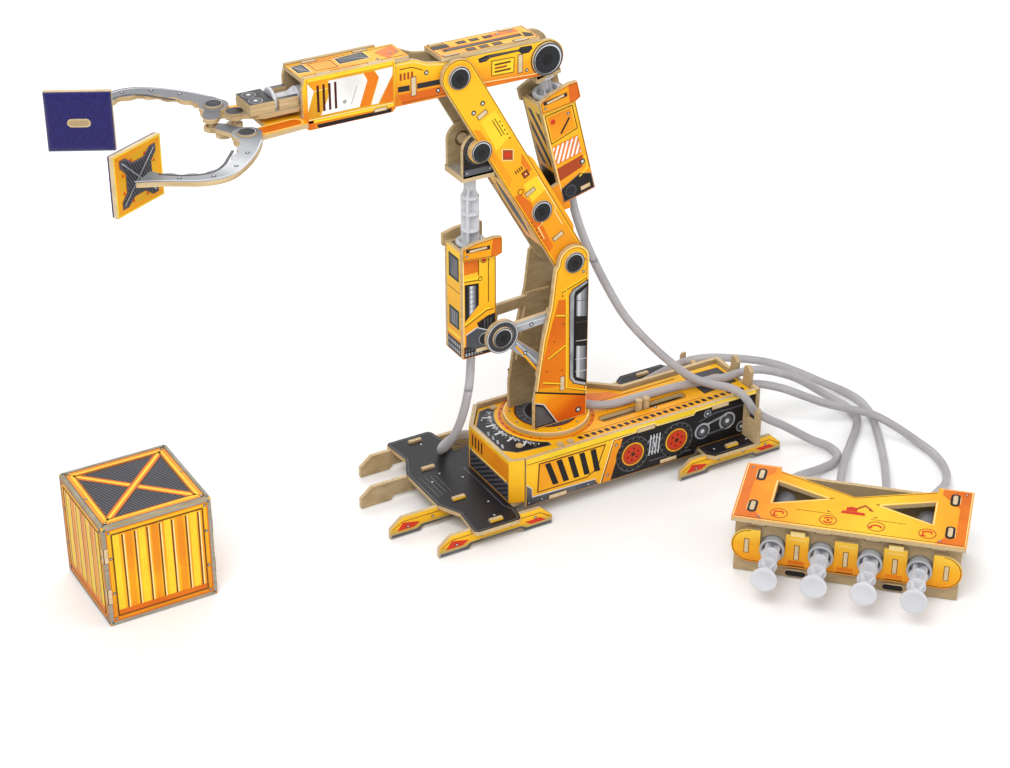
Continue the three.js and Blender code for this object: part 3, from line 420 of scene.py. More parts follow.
# ---------------------------------------------------------------- mesh building
class Piece:
    """Faces with materials, gathered into one object."""

    def __init__(self, name):
        self.name = name
        self.points, self.faces, self.slots, self.materials = [], [], [], []
        self.smooth = []

    def slot_of(self, material):
        if material not in self.materials:
            self.materials.append(material)
        return self.materials.index(material)

    def face(self, corners, material, smooth=False):
        self.faces.append(corners)
        self.slots.append(self.slot_of(material))
        self.smooth.append(smooth)

    def slab(self, plane, outline, w0, w1, top, side=None, bottom=None, holes=(), bevel=0.0):
        """A board between two levels of a plane; `bevel` rounds the edge at the top level."""
        side, bottom = side or top, bottom or side or top
        loops = [list(outline)] + [list(h) for h in holes]
        oriented = []
        for index, loop in enumerate(loops):
            area = sum(a[0] * b[1] - b[0] * a[1] for a, b in zip(loop, loop[1:] + loop[:1]))
            if (area > 0) == (index > 0):
                loop.reverse()
            oriented.append(loop)
        levels = [(w0, 0.0), (w1, 0.0)] if not bevel else [(w0, 0.0), (w1 - bevel, 0.0), (w1, bevel)]
        starts = []
        order = -1 if plane.mirrored else 1
        for w, cut in levels:
            row = []
            for index, loop in enumerate(oriented):
                ring = inset(loop, cut if index == 0 else -cut) if cut else loop
                row.append((len(self.points), ring))
                self.points.extend(plane(u, v, w) for u, v in ring)
            starts.append(row)
        for low, high in zip(starts, starts[1:]):
            for (a, ring), (b, _) in zip(low, high):
                count = len(ring)
                for i in range(count):
                    j = (i + 1) % count
                    self.face((a + i, a + j, b + j, b + i)[::order], side)
        for row, material, flip in ((starts[0], bottom, True), (starts[-1], top, False)):
            index_of = [start + i for start, ring in row for i in range(len(ring))]
            triangles = tessellate_polygon([[Vector((u, v, 0)) for u, v in ring] for _, ring in row])
            flat = [p for _, ring in row for p in ring]
            for t in triangles:
                (ax, ay), (bx, by), (cx, cy) = (flat[k] for k in t)
                turn = (bx - ax) * (cy - ay) - (by - ay) * (cx - ax)
                if abs(turn) < 1e-9:
                    continue
                corners = [index_of[k] for k in (t if turn > 0 else t[::-1])]
                self.face(corners[:: -order if flip else order], material)
        return self

    def decal(self, plane, outline, material, layer=1, base=0.0, holes=()):
        """Thin print on a board's face."""
        return self.slab(plane, outline, base - 0.12, base + 0.05 * layer, material, holes=holes)

    def lines(self, plane, points, width, material, layer=2, closed=False, base=0.0):
        outlines = ring_strips(points, width) if closed else [strip(points, width)]
        for outline in outlines:
            self.decal(plane, outline, material, layer, base)
        return self

    def screw(self, plane, u, v, r=1.5, layer=3, base=0.0):
        self.decal(plane, disc(u, v, r, 16), soot, layer, base)
        self.decal(plane, disc(u, v, r * 0.55, 12), silver, layer + 1, base)
        return self

    def tab(self, plane, u0, v0, u1, v1, base=0.0):
        """The end of another board's tab, flush in its slot, with a brown ring round it as painted shade
        for the gap.
        """
        # Brown ring: painted shade in the gap round the tab.
        self.slab(plane, rect(u0 - 0.35, v0 - 0.35, u1 + 0.35, v1 + 0.35), base - 0.1, base + 0.11, brown)
        self.slab(plane, rect(u0, v0, u1, v1), base - 0.1, base + 0.35, pale_core, bevel=0.15)
        return self

    def cap(self, plane, u, v, r, base=0.0, thick=1.2):
        """A pivot cap: grey knurled rim, a thin silver ring and a dark rubber middle set off centre, so
        that the ring shows as a light crescent on one side: a painted highlight.
        """
        self.slab(plane, disc(u, v, r, 40), base - 0.3, base + thick, slate, core, bevel=0.2)
        for i in range(28):
            a = math.radians(360 / 28 * i)
            tick = [(u + math.cos(a) * k * r, v + math.sin(a) * k * r) for k in (0.88, 0.96)]
            self.decal(plane, strip(tick, 0.3), soot, 1, base + thick)
        self.decal(plane, disc(u, v, r * 0.87, 36), silver, 2, base + thick)
        # The rubber disc sits off centre: the silver ring left showing on one side is a painted highlight.
        self.decal(plane, disc(u - 0.03 * r, v - 0.03 * r, r * 0.82, 36), rubber, 3, base + thick)
        self.decal(plane, disc(u - 0.03 * r, v - 0.03 * r, r * 0.34, 20), black, 4, base + thick)
        return self

    def done(self, body, slot, *replaced, bevel=0.0):
        mesh = bpy.data.meshes.new(self.name)
        mesh.from_pydata(self.points, [], self.faces)
        for material in self.materials:
            mesh.materials.append(material)
        mesh.polygons.foreach_set("material_index", self.slots)
        mesh.polygons.foreach_set("use_smooth", self.smooth)
        mesh.update()
        made = bpy.data.objects.new(self.name, mesh)
        bpy.context.scene.collection.objects.link(made)
        if bevel:
            rounding = made.modifiers.new("edge", "BEVEL")
            rounding.width, rounding.segments, rounding.limit_method = bevel / 1000, 2, "ANGLE"
        if body:
            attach(made, body)
        if replaced:
            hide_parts(*replaced)
        return made


def turned(piece, origin, axis, profile, material, sides=48):
    """A body of revolution from (radius, distance) pairs along an axis; both ends lie on the axis."""
    axis = Vector(axis).normalized()
    side = axis.orthogonal().normalized()
    other = axis.cross(side)
    rings = []
    for radius, along in profile:
        centre = Vector(origin) + axis * along
        if radius < 1e-6:
            rings.append([len(piece.points)])
            piece.points.append(to_row(*centre))
            continue
        start = len(piece.points)
        for i in range(sides):
            a = 2 * math.pi * i / sides
            piece.points.append(to_row(*(centre + (side * math.cos(a) + other * math.sin(a)) * radius)))
        rings.append(list(range(start, start + sides)))
    for low, high in zip(rings, rings[1:]):
        for i in range(sides):
            j = (i + 1) % sides
            corners = [low[i % len(low)], low[j % len(low)], high[j % len(high)], high[i % len(high)]]
            corners = list(dict.fromkeys(corners))
            if len(corners) > 2:
                piece.face(corners, material, smooth=True)
    return piece


# ---------------------------------------------------------------- hoses
HOSE_R = 2.5
BARREL_LENGTH, NOZZLE_LENGTH = 52, 7.8
PITCH = 26.7
AXES = [-1.5 * PITCH, -0.5 * PITCH, 0.5 * PITCH, 1.5 * PITCH]
AXIS_Z = 18.6
FLANGE_Y = -28.8
CHANNELS = ["reach", "grip", "lift", "slew"]


def desk_point(x, y, z):
    """A point of the console's own frame, whose Y points to the arm."""
    c, s = math.cos(CONSOLE_YAW), math.sin(CONSOLE_YAW)
    return (CONSOLE_AT[0] + x * c - y * s, CONSOLE_AT[1] + x * s + y * c, z)


def into(i):
    """The last points of a hose, into the nozzle of console syringe i."""
    end = FLANGE_Y + BARREL_LENGTH + NOZZLE_LENGTH
    return [desk_point(AXES[i], end + 26, 13), desk_point(AXES[i], end + 12, 17.6),
        desk_point(AXES[i], end, AXIS_Z)]


def on_boom(t, n):
    """X and Z of a point t along the boom from its lower pivot and n to its rear side."""
    dx, dz = ELBOW[0] - BOOM_PIVOT[0], ELBOW[1] - BOOM_PIVOT[1]
    size = math.hypot(dx, dz)
    return (BOOM_PIVOT[0] + (dx * t + dz * n) / size, BOOM_PIVOT[1] + (dz * t - dx * n) / size)


def centripetal(points, step=3.0):
    """A centripetal Catmull-Rom curve through the points, in steps of about `step` mm."""
    knots = [Vector(p) for p in points]
    knots = [knots[0] * 2 - knots[1]] + knots + [knots[-1] * 2 - knots[-2]]
    line = []
    for p0, p1, p2, p3 in zip(knots, knots[1:], knots[2:], knots[3:]):
        d0, d1, d2 = ((a - b).length ** 0.5 for a, b in ((p1, p0), (p2, p1), (p3, p2)))
        t1 = ((p1 - p0) / d0 - (p2 - p0) / (d0 + d1) + (p2 - p1) / d1) * d1
        t2 = ((p2 - p1) / d1 - (p3 - p1) / (d1 + d2) + (p3 - p2) / d2) * d1
        steps = max(2, round((p2 - p1).length / step))
        for i in range(steps):
            s = i / steps
            line.append(
                p1 * (2 * s**3 - 3 * s**2 + 1) + t1 * (s**3 - 2 * s**2 + s)
                + p2 * (3 * s**2 - 2 * s**3) + t2 * (s**3 - s**2)
            )
    return line + [knots[-2]]


def tube(name, line, radius=HOSE_R, sides=14):
    """A closed tube along a line of design points."""
    piece = Piece(name)
    tangent = (line[1] - line[0]).normalized()
    side = tangent.orthogonal().normalized()
    for i, point in enumerate(line):
        ahead = (line[min(i + 1, len(line) - 1)] - line[max(i - 1, 0)]).normalized()
        side = (side - ahead * side.dot(ahead)).normalized()
        other = ahead.cross(side)
        for k in range(sides):
            a = 2 * math.pi * k / sides
            piece.points.append(to_row(*(point + (side * math.cos(a) + other * math.sin(a)) * radius)))
        if i:
            low, high = (i - 1) * sides, i * sides
            for k in range(sides):
                j = (k + 1) % sides
                piece.face((low + k, low + j, high + j, high + k), hose_clear, smooth=True)
    last = (len(line) - 1) * sides
    piece.face(tuple(range(sides))[::-1], hose_clear)
    piece.face(tuple(range(last, last + sides)), hose_clear)
    return piece


def free_hose(name, line, body_a, body_b, cad_node=None):
    made = tube(name, line).done(None, "clear_hose")
    if body_b:
        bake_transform(made)
    else:
        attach(made, body_a)
    if cad_node:
        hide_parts(cad_node)
    return made


def split(line, at):
    """The line cut in two at its point nearest to `at`."""
    k = min(range(len(line)), key=lambda i: (line[i] - Vector(at)).length)
    return line[: k + 1], line[k:]


reach_nozzle = Vector((REACH_ROD[0], 0, REACH_ROD[1])) - tilted(REACH_TILT)[1] * 82.9
ON_FLOOR, ON_DECK = 2.7, 41.7
REACH_ROUTE = [
    tuple(reach_nozzle), (17.6, 0, 166), (22.6, -1, 150), (29.5, -2, 133), (38.5, -3, 114), (50, -4, 93),
    (64, -7, 74), (78, -12, 58), (89, -20, 48), (98, -30, 45.5), (104, -38.6, 45.8), (107.8, -44.6, 43.6),
    (110.8, -48.2, 38.4), (114.4, -48.8, 32.4), (123, -51, 25.5), (133, -52.5, 19), (144, -54, 11),
    (153, -58, 5), (159, -65.5, 3), (158.5, -75, ON_FLOOR), (151, -81.5, ON_FLOOR), (140, -84, 3.4),
    *into(0),
]
GRIP_ROUTE = [
    (BOOM_PIVOT[0], 0, BOOM_PIVOT[1] - 4), (6.5, 0, 125), (4, 0, 100), (3.5, -1, 75), (8, -3, 57),
    (19, -8, 45.5),
    (34, -12.5, ON_DECK), (56, -14, ON_DECK), (78, -15, ON_DECK), (98, -18, ON_DECK + 0.3),
    (112, -22.4, 43),
    (122.5, -23.3, 44), (134, -24.5, 43), (148, -27, 38), (163, -26, 29), (177, -24, 18), (189, -25, 8.5),
    (196.5, -33, 3.6), (195.5, -45, ON_FLOOR), (186, -57, ON_FLOOR), (174, -68, ON_FLOOR), (161, -80, 3.4),
    (147, -95, 7.5), *into(1),
]
LIFT_ROUTE = [
    (LIFT_ROD[0], 0, LIFT_ROD[1] - 117.6), (-50, 0, 90), (-51.5, 0.5, 70), (-55, 4, 48), (-58.5, 12, 30),
    (-58, 23, 19.5), (-50, 33, 16.2), (-38, 38.5, 15.8), (-24, 39.5, 11), (-8, 38, 4), (10, 36.5, ON_FLOOR),
    (34, 35.5, ON_FLOOR), (54, 34.5, 4.5), (68, 33, 11), (81, 30.5, 18), (93, 26.5, 24.5), (103, 22.5, 30),
    (113.2, 20.2, 33), (125, 14, 35), (138, 6.5, 34.5), (153, 3, 30.5), (170, 3, 22.5), (186, 2, 13),
    (199, -4, 5.5), (207, -15, ON_FLOOR), (209, -30, ON_FLOOR), (205, -47, ON_FLOOR), (197, -63, ON_FLOOR),
    (186.5, -81, 3), (174, -100, 5), *into(2),
]
SLEW_ROUTE = [
    (86.3, -20.8, 21.5), (97, -20.8, 23.2), (113.2, -20.8, 28.6), (122.4, -20.8, 31.6), (133, -23, 32.5),
    (146, -29, 29.5), (160, -35.5, 23), (174, -41, 16), (187, -47, 11.5), (197.5, -57.5, 9.8),
    (205, -70, 6),
    (209, -86, 3), (209, -103, ON_FLOOR), (203.5, -120, 3.2), (192, -135, 5.5), *into(3),
]
BOOM_ROUTE = [
    (x, 0, z)
    for x, z in [on_boom(4, 0), on_boom(20, 2), on_boom(70, 2), on_boom(118, 2), on_boom(134, 2),
        (-66, 267.5),
                 (-76, 271), (-83.9, 271.3)]
]

slew_line = centripetal(SLEW_ROUTE)
free_hose("slew_hose_tube", slew_line, "base", None, "slew_hose")

reach_top, reach_main = split(centripetal(REACH_ROUTE), (29.5, -2, 133))
reach_upper = free_hose("reach_hose_top", reach_top, "boom", "turntable")
free_hose("reach_hose_tube", reach_main, "base", "turntable",
    "reach_hose")

grip_line = centripetal(GRIP_ROUTE)
free_hose("grip_hose_tube", grip_line, "base", "turntable",
    "grip_hose")

lift_top, lift_main = split(centripetal(LIFT_ROUTE), (-51.5, 0.5, 70))
lift_upper = free_hose("lift_hose_top", lift_top, "lift_cylinder", "turntable")
free_hose("lift_hose_tube", lift_main, "base", "turntable",
    "lift_hose")

boom_line = centripetal(BOOM_ROUTE)
boom_hose = free_hose(
    "grip_hose_in_boom", boom_line, "boom", "forearm",
    "grip_hose_boom",
)


# ---------------------------------------------------------------- finish of the CAD boards that stay
def board_look(name, outward, stops, grade=((0, 0, 0), (0, 0, 1), 60), back=("#b7a07c", "#a08964"),
               edge=("#d3bb92", "#b89c70"), limit=0.7, rough=0.45, texture=None):
    """Print on the faces that look outward, bare board on the others, its core on the edges."""
    look = Look(name, rough)
    normal = look.node("ShaderNodeNewGeometry").outputs["True Normal"]
    turn = look.node("ShaderNodeVectorTransform", vector_type="NORMAL", convert_from="WORLD",
        convert_to="OBJECT")
    look.link(normal, turn.inputs[0])
    dot = look.node("ShaderNodeVectorMath", operation="DOT_PRODUCT")
    dot.inputs[1].default_value = Vector(outward).normalized()
    look.link(turn.outputs[0], dot.inputs[0])
    facing = dot.outputs["Value"]
    printed = look.ramp(facing, [(limit, 0.0), (limit + 0.02, 1.0)])
    flipped = look.node("ShaderNodeMath", operation="MULTIPLY")
    flipped.inputs[1].default_value = -1
    look.link(facing, flipped.inputs[0])
    behind = look.ramp(flipped.outputs[0], [(limit, 0.0), (limit + 0.02, 1.0)])
    fibre = look.noise(800, 4, (1, 1, 3))
    core_colour = look.ramp(fibre, [(0.3, edge[1]), (0.7, edge[0])])
    back_colour = look.ramp(look.noise(120, 5, (1, 1, 3)), [(0.3, back[1]), (0.7, back[0])])
    cloud = look.noise(30, 3)
    shade = look.along(*grade)
    mixed = look.node("ShaderNodeMath", operation="MULTIPLY_ADD")
    mixed.inputs[1].default_value = 0.35
    look.link(cloud, mixed.inputs[0])
    look.link(shade, mixed.inputs[2])
    shifted = look.node("ShaderNodeMath", operation="SUBTRACT")
    shifted.inputs[1].default_value = 0.175
    look.link(mixed.outputs[0], shifted.inputs[0])
    print_colour = look.ramp(shifted.outputs[0], stops, True)
    if texture:
        print_colour = look.mix(print_colour, look.ramp(look.noise(*texture), [(0.4, 0.55), (0.6, 1.0)]),
            1.0, "MULTIPLY")
    colour = look.mix(core_colour, back_colour, behind)
    colour = look.mix(colour, print_colour, printed)
    return look.ink(colour, 0.08)


def dress(node, material):
    """Give a CAD node a material in place of its own."""
    kept = bpy.data.objects[node]
    if not kept.data.materials:
        kept.data.materials.append(material)
    for slot in kept.material_slots:
        slot.link = "OBJECT"
        slot.material = material


YELLOWS = [(0.0, "#df8a10"), (0.35, "#eeab16"), (0.7, "#f4b91a"), (1.0, "#f6c026")]
bare_look = board_look("board_bare", (0, 1, 0), [(0, "#b39b76"), (1, "#a68f6a")])
dress("side_panel_far", board_look("board_far_wall", (0, 1, 0), YELLOWS, ((0, 0, 10), (0, 0, 1), 30)))
dress("side_panel_near", board_look("board_near_wall", (0, -1, 0), YELLOWS, ((0, 0, 5), (0, 0, 1), 30)))
dress("front_panel", board_look("board_front", (-1, -0.1, 0), YELLOWS, ((0, 0, 8), (0, 0, 1), 30),
    limit=0.25))
dress("top_plate", board_look(
    "board_top_plate", (0, 0, 1), [(0, "#f2b417"), (0.5, "#ee9f12"), (1, "#f4ba1c")],
    ((-40, 0, 0), (1, 0.4, 0), 150)))
dress("chassis_plate", board_look(
    "board_chassis", (0, 0, 1), [(0, "#29262a"), (0.5, "#1f1c1f"), (1, "#2c292c")], texture=(700, 2)))
for _name in ("clip_plate", "rear_plate", "console_frame", "bracket_far", "link_near", "link_far"):
    dress(_name, bare_look)
for _side, _sign in (("near", -1), ("far", 1)):
    for _leg in ("front", "inner", "rear"):
        dress(f"{_leg}_leg_{_side}", board_look(
            f"board_{_leg}_leg_{_side}", (0, _sign, 0),
            [(0, "#8d8d8f"), (0.35, "#c9a23c"), (0.5, "#f2b417"), (1, "#f5c02a")],
            ((0, 0, 0), (0, 0, 1), 13)))
_crate = board_look("board_crate", (-1, -1, 1), [(0, "#e08a12"), (0.5, "#eda914"), (1, "#f2b61a")],
                    ((0, 0, 0), (0, 0, 1), 62), limit=0.5, edge=("#9b968a", "#85806f"))
dress("crate", _crate)
dress("console_top", board_look(
    "board_console_top", (0, 0, 1), [(0.0, "#ea8a10"), (0.35, "#f4b41a"), (0.65, "#f7c22a"),
    (1.0, "#ee9a14")],
    (desk_point(-60, 0, 37), Vector(desk_point(1, 0, 0)) - Vector(desk_point(0, 0, 0)), 120)))
_toward = Vector(desk_point(0, -1, 0)) - Vector(desk_point(0, 0, 0))
dress("console_holder", board_look(
    "board_console_holder", _toward, [(0, "#e58f12"), (0.5, "#f0a818"), (1, "#f7c640")],
    ((0, 0, 8), (0, 0, 1), 21)))
dress("slew_plunger", board_look("board_slider", (0, 0, 1), [(0, "#cdb48c"), (1, "#bfa57c")]))


# ---------------------------------------------------------------- syringes
def barrel(piece, origin, axis, flange=8.2):
    """The open end is at the origin and the nozzle points against the axis."""
    profile = [
        (0, -59.5), (1.5, -59.5), (1.75, -59.2), (2.0, -53.6), (2.5, -53.0), (5.4, -52.5), (6.3, -52.0),
        (6.6, -51.2),
        (6.6, -2.6), (6.65, -2.1), (flange - 0.3, -2.0), (flange, -1.7), (flange, -0.3), (flange - 0.3, 0),
        (5.9, 0), (5.6, -0.3),
        (5.6, -50.8), (0, -50.8),
    ]
    turned(piece, origin, axis, profile, syringe)
    return piece


def plunger(piece, origin, axis, reach):
    """The thumb disc's top is at the origin; the rod is a cross of four fins with round webs."""
    end, axis = -reach, Vector(axis).normalized()
    turned(piece, origin, axis, [
        (0, -1.6), (7.0, -1.6), (7.3, -1.3), (7.3, -0.3), (7.0, 0), (5.6, 0), (5.2, -0.25), (0, -0.25),
    ], plunger_white)
    half = [(3.3, -1.5), (3.3, -10.6), (5.1, -14.6), (5.1, end + 8)]
    fin = [(-r, z) for r, z in half[::-1]] + half
    side = axis.orthogonal().normalized()
    for direction in (side, axis.cross(side)):
        piece.slab(Plane(origin, direction, axis), fin, -0.65, 0.65, plunger_white)
    turned(piece, origin, axis, [(0, -11.6), (2.1, -11.6), (2.5, -9), (2.5, -1.5), (0, -1.5)],
        plunger_white, 28)
    webs = [-14.8] + [z for z in (-24.5, -34.5, -44) if z > end + 10] + [end + 8.6]
    for z in webs:
        turned(piece, origin, axis, [(0, z - 0.6), (5.0, z - 0.6), (5.2, z - 0.4), (5.2, z + 0.4),
            (5.0, z + 0.6), (0, z + 0.6)],
               plunger_white, 36)
    turned(piece, origin, axis, [
        (0, end), (4.2, end), (5.1, end + 0.7), (5.3, end + 1.4), (5.3, end + 2.2), (4.7, end + 2.8),
        (4.7, end + 4.4),
        (5.3, end + 5), (5.3, end + 6.2), (4.9, end + 6.9), (2.5, end + 7.6), (0, end + 8),
    ], seal)
    return piece


_along = Vector(desk_point(0, 1, 0)) - Vector(desk_point(0, 0, 0))
for _i, _channel in enumerate(CHANNELS):
    barrel(Piece(f"console_barrel_{_channel}_clear"), desk_point(AXES[_i], FLANGE_Y, AXIS_Z), -_along,
        6.95).done(
        "base", "syringe_plastic", f"console_barrel_{_channel}")
    plunger(Piece(f"console_plunger_{_channel}_clear"), desk_point(AXES[_i], -58, AXIS_Z), -_along,
        60).done(
        f"console_rod_{_channel}", "syringe_plastic", f"console_plunger_{_channel}")
barrel(Piece("slew_barrel_clear"), (26, SLEW_Y, SLEW_Z), (-1, 0, 0)).done("base", "syringe_plastic",
    "slew_barrel")
barrel(Piece("grip_barrel_clear"), (-144.2, 0, GRIP_Z), (-1, 0, 0)).done("forearm", "syringe_plastic",
    "grip_barrel")
plunger(Piece("grip_plunger_clear"), (-165, 0, GRIP_Z), (-1, 0, 0), 56).done(
    "grip_carriage", "syringe_plastic", "grip_plunger")


# ---------------------------------------------------------------- turntable and mast
disc_piece = Piece("turntable_disc_board")
disc_piece.slab(TOP, disc(0, 0, 25.4, 96), 38.9, DISC_TOP, yellow, core, bare, bevel=0.2)
disc_piece.slab(TOP, disc(0, 0, 12.1, 48), 32.5, 39.5, bare)
disc_piece.slab(TOP, disc(0, 0, 16, 64), 32.5, 35.8, bare)
for _r, _ink, _layer in ((25.1, pale, 1), (24.5, yellow, 2), (19.3, orange, 3), (18.7, black, 4),
    (18.0, slate, 5),
                         (13.4, steel, 6), (12.6, soot, 7)):
    disc_piece.decal(TOP, disc(0, 0, _r, 72), _ink, _layer, DISC_TOP)
for _k in range(24):
    _a = math.radians(15 * _k)
    disc_piece.decal(TOP, tick((0, 0), _a, (14.2, 17.4), 0.5), soot, 7, DISC_TOP)
for _k in range(10):
    _a = math.radians(36 * _k + 8)
    disc_piece.screw(TOP, math.cos(_a) * 21.6, math.sin(_a) * 21.6, 0.8, 4, DISC_TOP)
disc_piece.done("turntable", "printed_board", "turntable_disc")

MAST_FOOT = 41.5
mast_outline = [(-17.4, MAST_FOOT), (17.9, MAST_FOOT), (17.9, BOOM_PIVOT[1])] + arc(*BOOM_PIVOT, 10.1, 0,
    180) + [
    (-4.2, 141), (-7, 118), (-11.9, 97), (-16.2, 66), (-17.4, 60)]
mast_grade = graded_ink("ink_mast", (0, 0, 40), (0.1, 0, 1), 115,
                        [(0.0, "#d98c12"), (0.3, "#eca114"), (0.7, "#efaa16"), (1.0, "#f3b61e")])
mast_tube = graded_ink("ink_mast_tube", (9.5, 0, 0), (1, 0, 0), 8, [
    (0.0, "#55565b"), (0.25, "#c8cacf"), (0.5, "#8a8c92"), (1.0, "#3c3d42")])
mast_foot_ink = graded_ink("ink_mast_foot", (-16, 0, 62), (0.6, 0, -1), 24, [
    (0.0, "#f1a816"), (0.5, "#e88611"), (1.0, "#cf5a0e")])
for _name, _side in (("near", -1), ("far", 1)):
    _p = side_face(_side, MAST_OUT)
    _m = Piece(f"mast_{_name}_board")
    _m.slab(_p, mast_outline, -BOARD, 0, mast_grade, core, bare, bevel=0.15)
    if _side > 0:
        _m.slab(rear_face(0), rect(-12.8, 62, 13.4, 122), 14, 16.5, bare, core)
        for _z in (70, 112):
            _m.tab(rear_face(0), -3, _z, 5, _z + 3, 16.5)
    _m.slab(_p, disc(*BOOM_PIVOT, PEG_R, 24), -BOARD - 3.2, -0.4, pale_core)
    _m.cap(_p, *BOOM_PIVOT, 6.35)
    _m.lines(_p, inset(mast_outline, 0.7), 0.5, pale, 1, closed=True)
    _m.lines(_p, inset(mast_outline, 1.5), 0.3, brown, 1, closed=True)
    _m.decal(_p, [(-2, 122), (3, 121), (3.6, 65), (-14.4, 68), (-11, 88), (-6, 108)], orange, 1)
    frame_out = [(5.2, 123), (7.2, 126.3), (17.2, 130.2), (17.2, 61.2), (8.7, 65.2), (6.1, 69)]
    _m.decal(_p, frame_out, steel, 2).lines(_p, frame_out, 0.45, black, 4, closed=True)
    _m.decal(_p, [(8.2, 122.4), (9, 124.6), (17.2, 128.4), (17.2, 63.2), (10, 66.6), (8.4, 69.4)], black, 3)
    _m.decal(_p, [(9.6, 121.6), (17.2, 126.2), (17.2, 65), (10.4, 69)], mast_tube, 4)
    _m.decal(_p, [(9.6, 108.8), (17.2, 107), (17.2, 87.6), (10.0, 89.4)], black, 5)
    for _z in (118, 104, 92, 80, 72):
        _m.lines(_p, [(9.8, _z + 0.6), (17.2, _z - 0.4)], 0.35, slate if _z > 100 else silver, 6)
    for _line in ([(-0.4, 126.9), (16.7, 132.6)], [(3.1, 127.4), (4.1, 63.6), (17.2, 58.2)],
        [(-3.7, 112.6), (3.4, 110.7)],
                  [(-8.4, 85.8), (3.4, 91.8)], [(-11.8, 71.2), (0.0, 67.3)]):
        _m.lines(_p, _line, 0.8, lemon, 4).lines(_p, [(u + 0.2, v - 0.75) for u, v in _line], 0.35, brown,
            3)
    _m.tab(_p, -0.1, 62.8, 2.5, 71.6)
    _m.lines(_p, [(-16.8, 66.2), (17.2, 55.2)], 0.9, black, 5)
    _m.decal(_p, [(-16.8, 65.6), (17.2, 54.6), (17.2, 42.2), (-16.8, 42.2)], mast_foot_ink, 2)
    foot_window = [(-16.8, 58.8), (-11.2, 56.4), (-2.2, 42.2), (-16.8, 42.2)]
    _m.decal(_p, foot_window, soot, 3).decal(_p,
        [(-16.2, 56.6), (-11.6, 54.8), (-4.2, 43.2), (-16.2, 43.2)], slate, 4)
    _m.lines(_p, [(-16.6, 58.9), (-11, 56.6), (-2, 42.4)], 0.6, silver, 4)
    _m.screw(_p, 12.2, 46.6, 2.0, 4).screw(_p, 14.2, 136, 0.9, 3)
    for _x, _z in ((0.6, 124), (1.6, 106), (-4.6, 96), (-9.4, 78), (0.8, 76)):
        _m.decal(_p, disc(_x, _z, 0.5, 10), brown, 3)
    _m.done("turntable", "printed_board" if _side < 0 else "bare_board", f"mast_{_name}")

bracket = Piece("bracket_near_board")
_p = side_face(-1, BRACKET_OUT)
_arms = (bar((LIFT_FOOT[0] + 3, LIFT_FOOT[1] + 3), (-3, 111.5), 3.2),
    bar((LIFT_FOOT[0] + 3, LIFT_FOOT[1] - 3), (-8, 81), 3.2))
for _k, _outline in enumerate((disc(*LIFT_FOOT, 10.3, 48), *_arms,
    [(-14, 74), (8, 74), (8, 116), (-7, 116)])):
    bracket.slab(_p, _outline, -BOARD + 0.02 * _k, -0.03 * _k, steel if _k else slate, core, bare,
        bevel=0.15)
bracket.lines(_p, [(LIFT_FOOT[0] + 9, LIFT_FOOT[1] - 8.4), (-14, 79)], 1.2, yellow, 2)
for _k in range(40):
    _a = math.radians(9 * _k)
    bracket.decal(_p, tick(LIFT_FOOT, _a, (7.4, 8.6), 0.5), soot, 2)
bracket.lines(_p, disc(*LIFT_FOOT, 9.5, 40), 0.5, silver, 2, closed=True)
bracket.slab(_p, disc(*LIFT_FOOT, PEG_R, 24), -5.9, 0, pale_core)
bracket.lines(_p, [(LIFT_FOOT[0] + 9, LIFT_FOOT[1] + 4.4), (-8, 111.6)], 0.6, silver, 2)
bracket.lines(_p, [(LIFT_FOOT[0] + 9, LIFT_FOOT[1] - 6), (-14, 84)], 0.6, silver, 2)
bracket.cap(_p, *LIFT_FOOT, 6.35)
bracket.screw(_p, -18, 109.6, 1.3).screw(_p, -22, 92.4, 1.3)
bracket.done("turntable", "grey_board", "bracket_near")
_cap = Piece("bracket_far_cap")
_cap.cap(side_face(1, BRACKET_OUT), *LIFT_FOOT, 6.35)
_cap.done("turntable", "black_board")


# ---------------------------------------------------------------- arm cylinders
HOUSING_IN, HOUSING_X = 7.6, 10.6
housing_tube = graded_ink("ink_housing_tube", (-56.6, 0, 0), (1, 0, 0), 4.8, [
    (0.0, "#4b4c51"), (0.35, "#d4d6da"), (0.6, "#8f9197"), (1.0, "#303136")])


def stripes(piece, plane, box, pitch, width, slope, material, layer):
    """Diagonal bars clipped to a box (u0, v0, u1, v1)."""
    u0, v0, u1, v1 = box
    height = v1 - v0
    start = u0 - abs(slope) * height
    while start < u1 + abs(slope) * height:
        quad = [(start, v0), (start + width, v0), (start + width + slope * height, v1),
            (start + slope * height, v1)]
        clipped = clip(quad, u0, u1)
        if len(clipped) > 2:
            piece.decal(plane, clipped, material, layer)
        start += pitch


def clip(points, low, high):
    """A convex outline cut at u = low and u = high."""
    for limit, sign in ((low, 1), (high, -1)):
        kept = []
        for (au, av), (bu, bv) in zip(points, points[1:] + points[:1]):
            a_in, b_in = (au - limit) * sign >= 0, (bu - limit) * sign >= 0
            if a_in:
                kept.append((au, av))
            if a_in != b_in and abs(bu - au) > 1e-9:
                t = (limit - au) / (bu - au)
                kept.append((limit, av + (bv - av) * t))
        points = kept
        if len(points) < 3:
            return []
    area = sum(a[0] * b[1] - b[0] * a[1] for a, b in zip(points, points[1:] + points[:1])) / 2
    return points if abs(area) > 0.15 else []


